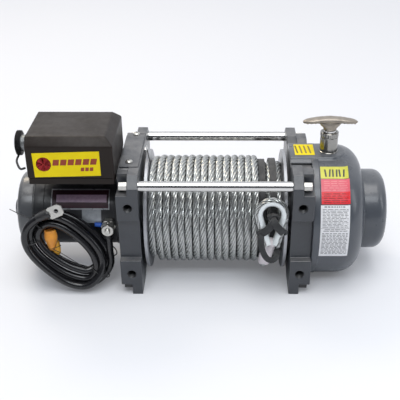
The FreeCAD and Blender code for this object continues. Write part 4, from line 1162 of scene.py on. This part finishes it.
def handle_skins():
    """The cast T-handle: a bowed bar with rounded ends and finger scallops, on a flared neck."""
    foot = FLOOR + 232.3
    half_long = 41.0
    bar = []
    for step in range(49):
        share = -1 + 2 * step / 48
        x = half_long * math.sin(share * math.pi / 2)
        part = abs(x) / half_long
        top = 19.7 - 6.0 * part ** 1.7
        under = 10.7 - 2.0 * part ** 3 + 0.55 * math.sin(x * 1.15) * ease(part, 0.35, 0.6)
        if part > 0.9:
            squeeze = ease(part, 0.9, 1.0)
            under += (top - under) * 0.42 * squeeze
            top -= 0.8 * squeeze
        half_wide = 8.5 * math.sqrt(max(1 - max(part - 0.55, 0) ** 2 / 0.2116, 0.02))
        middle, half_tall = (top + under) / 2, (top - under) / 2
        loop = []
        for turn in round_turns(28):
            y = squared_off(math.cos(turn), 0.75) * half_wide
            z = squared_off(math.sin(turn), 0.75) * half_tall
            lump = 0.12 * math.sin(x * 0.9 + 3 * turn) + 0.1 * math.sin(x * 0.37 - 2 * turn)
            loop.append(Vector((CLUTCH_X + x, AXIS_Y - y * (1 + lump * 0.06), foot + middle + z + lump)))
        bar.append(loop)
    neck = []
    for height, wide, deep in ((0, 9.0, 8.2), (0.8, 9.6, 8.5), (3.0, 10.4, 8.6), (5.0, 12.4, 8.5),
                               (7.0, 14.6, 8.3), (9.2, 16.2, 8.0), (11.5, 18.0, 7.4), (14.0, 19.0, 5.0)):
        neck.append([Vector((CLUTCH_X + squared_off(math.cos(turn), 0.8) * wide,
                             AXIS_Y + squared_off(math.sin(turn), 0.8) * deep, foot + height))
                     for turn in round_turns(32)])
    return [("nickel casting", skin(bar)), ("nickel casting", skin(neck))]


make_piece("cast_handle", "clutch_turn", handle_skins(), 50, ("clutch_handle",))

# Remote socket, its rubber cap and the cap's tether
socket_low, socket_high = [Vector(corner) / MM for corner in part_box("remote_socket")]
cap_low, cap_high = [Vector(corner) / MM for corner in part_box("remote_socket_cap")]
socket_y = (socket_low.y + socket_high.y) / 2
socket_z = (socket_low.z + socket_high.z) / 2
socket_r = (socket_high.z - socket_low.z) / 2
socket_deep = socket_high.x - socket_low.x
cap_start = cap_low.x
cap_r = (cap_high.z - cap_low.z) / 2
cap_deep = cap_high.x - cap_low.x
tether_top = socket_z - cap_r
make_piece("socket_barrel", "frame", [("socket metal", turned(
    (socket_low.x, socket_y, socket_z), (1, 0, 0), rounded([
        (0, 3), (0, socket_r * 0.86), (socket_deep * 0.35, socket_r * 0.86, 0.8),
        (socket_deep * 0.45, socket_r, 0.6), (socket_deep, socket_r), (socket_deep, 3)], 3), 40))],
    30, ("remote_socket",))
ridges = [(0, 0), (0, cap_r * 0.8, 1.5)]
for number in range(4):
    along = cap_deep * (0.12 + 0.22 * number)
    ridges += [(along, cap_r * 0.93, 0.5), (along + cap_deep * 0.08, cap_r, 0.6),
               (along + cap_deep * 0.14, cap_r, 0.6), (along + cap_deep * 0.2, cap_r * 0.93, 0.5)]
ridges += [(cap_deep, cap_r * 0.9), (cap_deep, 0)]
tether = smooth_line([(cap_start + 3, socket_y - 8, tether_top + 3),
                      (cap_start + 2, socket_y - 20, tether_top - 2),
                      (cap_start + 9, socket_y - 32, tether_top - 8),
                      (cap_start + 17, socket_y - 34, tether_top - 6)])
make_piece("socket_cap", "frame", [
    ("black rubber", turned((cap_start, socket_y, socket_z), (1, 0, 0), rounded(ridges, 3), 40)),
    ("black rubber", tube(tether, 1.6))], 30, ("remote_socket_cap",))


# Small fittings
def pan_screw(x, y, z, radius):
    """An upright pan-head screw; its cross recess is drawn as raised black bars, painted shade of the
    recess.
    """
    head = turned((x, y, z), (0, 0, 1), rounded([
        (0, radius), (radius * 0.3, radius, radius * 0.25), (radius * 0.62, radius * 0.55, radius * 0.4),
        (radius * 0.66, 0)], 4), 28)
    # The cross recess: black bars on the head, painted shade standing in for the hollow
    recess_shade_marks = [skin([[Vector((x + a * wide, y + b * deep, z + height))
                    for a, b in ((-1, -1), (1, -1), (1, 1), (-1, 1))]
                   for height in (radius * 0.5, radius * 0.675)])
             for wide, deep in ((radius * 0.5, 0.55), (0.55, radius * 0.5))]
    return [("zinc plate", head)] + [("black oxide", mark) for mark in recess_shade_marks]


cover_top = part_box("support_cover_plate")[1][2] / MM
make_piece("cover_plate_screws", "frame",
           pan_screw(-128.3, 59.0, cover_top - 0.3, 5.6) + pan_screw(-127.3, 159.0, cover_top - 0.3, 5.6),
           40)
rope_clip = [(-104.5, 96, cover_top + 2.5), (-103, 88, cover_top + 1.5), (-101, 80, cover_top - 2),
             (-98, 70, cover_top - 8)]
make_piece("cover_plate_clip", "frame", [
    ("polished steel", turned((-107.0, 94.0, cover_top + 0.6), (0, 1, 0.1), rounded([
        (0, 1), (0, 3, 1), (9, 3.4, 1), (11, 2), (15, 1.4), (15, 0)], 4), 20)),
    ("black oxide", tube(smooth_line(rope_clip), 0.9))], 40)


# The four mounting holes: their pattern and their thread
HOLE_X = 127.0
HOLE_Z = 57.15
THREAD_PITCH = 1.75
THREAD_TURNS = 14


def hole_thread(x, z):
    """The thread inside a blind mounting hole."""
    profile = [(0.3, 6.72)]
    for number in range(THREAD_TURNS):
        profile += [(0.8 + number * THREAD_PITCH, 6.7), (1.5 + number * THREAD_PITCH, 5.95)]
    points, faces = turned((x, 0, z), (0, 1, 0), profile, 40, caps=False)
    return points, [tuple(reversed(face)) for face in faces]


threads = [("thread steel", hole_thread(x, z)) for x in (-HOLE_X, HOLE_X) for z in (-HOLE_Z, HOLE_Z)]
make_piece("mounting_threads", "frame", threads, 20)

# Labels, all bare or with plain bands
BOX_FRONT = 11.0
LABEL_CORNERS = [Vector((-257.9, FLOOR + 233.7)), Vector((-162.9, FLOOR + 236.9)),
                 Vector((-162.8, FLOOR + 198.6)), Vector((-257.0, FLOOR + 196.0))]


def on_box_label(u, v, lift):
    top = LABEL_CORNERS[0].lerp(LABEL_CORNERS[1], u)
    low = LABEL_CORNERS[3].lerp(LABEL_CORNERS[2], u)
    place = top.lerp(low, v)
    return Vector((place.x, BOX_FRONT - lift, place.y))


def round_drum(left, right, top, bottom, radius):
    """A label's surface wrapped round the drum's axis between two heights above the floor."""
    def surface(u, v, lift):
        x = left + (right - left) * u
        wide = radius(x) if callable(radius) else radius
        first = math.asin((top + FLOOR - AXIS_Z) / wide)
        last = math.asin((bottom + FLOOR - AXIS_Z) / wide)
        return drum_point(x, wide + lift, first + (last - first) * v)
    return surface


def round_mark(surface, u, v, radius_u, radius_v, low, high, inner):
    """A ring on a label, or nearly a disc."""
    loops = []
    for lift, share in ((low, 1.0), (high, 1.0), (high, inner), (low, inner)):
        loops.append([surface(u + radius_u * share * math.cos(turn), v + radius_v * share * math.sin(turn),
                              lift)
                      for turn in round_turns(40)])
    return skin(loops, ring=True)


def slanted(surface, left, right, top, bottom, lean, low=LABEL_FACE, high=PRINT_FACE):
    """A plain slanted block on a label."""
    def tilted(u, v, lift):
        return surface(left + (right - left) * u + lean * (1 - v), top + (bottom - top) * v, lift)
    return patch(tilted, 3, 4, low, high)


def word_rows(surface, rows, chance, low=LABEL_FACE, high=PRINT_FACE):
    """Plain bars in rows, of word-like lengths: (top, bottom, left, right, longest, gap)."""
    bars = []
    for top, bottom, left, right, longest, gap in rows:
        at = left
        while at < right - 0.02:
            length = min(chance.uniform(0.35, 1.0) * longest, right - at)
            corners = (at, top, at + length, bottom)
            bars.append(patch(surface, max(1, int(length * 10)), 1, low, high, corners))
            at += length + gap
    return bars


box_prints = [
    ("print red", round_mark(on_box_label, 0.155, 0.47, 0.105, 0.275, LABEL_FACE, PRINT_FACE, 0.02)),
    ("print deep red", round_mark(on_box_label, 0.155, 0.47, 0.112, 0.29, 0.28, 0.33, 0.84))]
# Two rows of blocks: first left edge, pitch, width, top, bottom, lean, count
for first, pitch, width, top, bottom, lean, count in ((0.285, 0.113, 0.092, 0.29, 0.53, 0.022, 6),
                                                      (0.70, 0.068, 0.052, 0.64, 0.79, 0.010, 3)):
    for number in range(count):
        left = first + number * pitch
        box_prints.append(("print brown", slanted(on_box_label, left, left + width, top, bottom, lean)))
make_piece("box_label", "frame", [("label yellow", patch(on_box_label, 1, 1))] + box_prints, 30)

nameplate = round_drum(-250.7, -161.7, 144.0, 120.0, MOTOR_R)
make_piece("motor_nameplate", "frame", [
    ("plate silver", patch(nameplate, 1, 10, high=0.5)),
    ("plate maroon", patch(nameplate, 1, 10, 0.4, 0.58, (0.018, 0.07, 0.982, 0.93))),
    ("print lavender", patch(nameplate, 1, 8, 0.5, 0.66, (0.09, 0.30, 0.95, 0.66)))], 30)
silver_label = round_drum(-203.5, -174.4, 120.0, 100.0, MOTOR_R)
make_piece("bare_silver_label", "frame", [("label silver", patch(silver_label, 1, 8, high=0.4))], 30)
PAD_FACE = 0.25


def on_pad(u, v, lift):
    return Vector((119.5 + 30.0 * u, AXIS_Y + 20.0 - 37.0 * v, PAD_TOP + lift))


top_sticker = [("label yellow", patch(on_pad, 1, 1, high=PAD_FACE))]
for number in range(4):
    left = 0.10 + number * 0.22
    top_sticker.append(("print olive", slanted(on_pad, left, left + 0.085, 0.12, 0.86, -0.07, PAD_FACE,
                                               PAD_FACE + 0.06)))
make_piece("top_sticker", "frame", top_sticker, 30)

lime = round_drum(155.0, 196.5, 188.7, 178.3, housing_radius)
LIME_LEANS = (-0.03, 0.03, 0.0, 0.02, -0.02, 0.03)
lime_bars = [("print black", slanted(lime, 0.16 + number * 0.125, 0.22 + number * 0.125, 0.25, 0.85, lean))
             for number, lean in enumerate(LIME_LEANS)]
red = round_drum(155.0, 197.5, 177.8, 150.1, housing_radius)
white = round_drum(154.0, 197.0, 148.8, 68.3, housing_radius)
red_rows = [(0.08 + 0.09 * row, 0.11 + 0.09 * row, 0.1, 0.92, 0.3, 0.05) for row in range(5)]
deep_rows = [(0.58 + 0.085 * row, 0.615 + 0.085 * row, 0.08, 0.93, 0.34, 0.05) for row in range(5)]
white_rows = [(0.018, 0.038, 0.12, 0.86, 0.09, 0.03)]
white_rows += [(0.068 + 0.026 * row, 0.079 + 0.026 * row, 0.06, 0.94, 0.22, 0.035) for row in range(13)]
white_rows += [(0.425, 0.437, 0.14, 0.86, 0.2, 0.03), (0.452, 0.466, 0.1, 0.92, 0.26, 0.03)]
white_rows += [(0.50 + 0.0285 * row, 0.513 + 0.0285 * row, 0.06, 0.94, 0.15, 0.035) for row in range(16)]
RED_FIELD = 0.31
chance = random.Random(11)
make_piece("housing_stickers", "frame", [
    ("label lime", patch(lime, 10, 3)),
    ("label red", patch(red, 10, 6)),
    ("label bright red", patch(red, 10, 4, PAD_FACE, RED_FIELD, (0.0, 0.52, 1.0, 1.0))),
    ("label white", patch(white, 10, 20)),
    ("print grey", patch(white, 10, 1, LABEL_FACE, 0.34, (0.02, 0.408, 0.98, 0.414)))]
    + lime_bars
    + [("print rose", bar) for bar in word_rows(red, red_rows, chance)]
    + [("print deep red", bar) for bar in word_rows(red, deep_rows, chance, RED_FIELD, RED_FIELD + 0.06)]
    + [("print grey", bar) for bar in word_rows(white, white_rows, chance)], 30)

# Plain view transform for the render's colours
bpy.context.scene.view_settings.view_transform = "Standard"
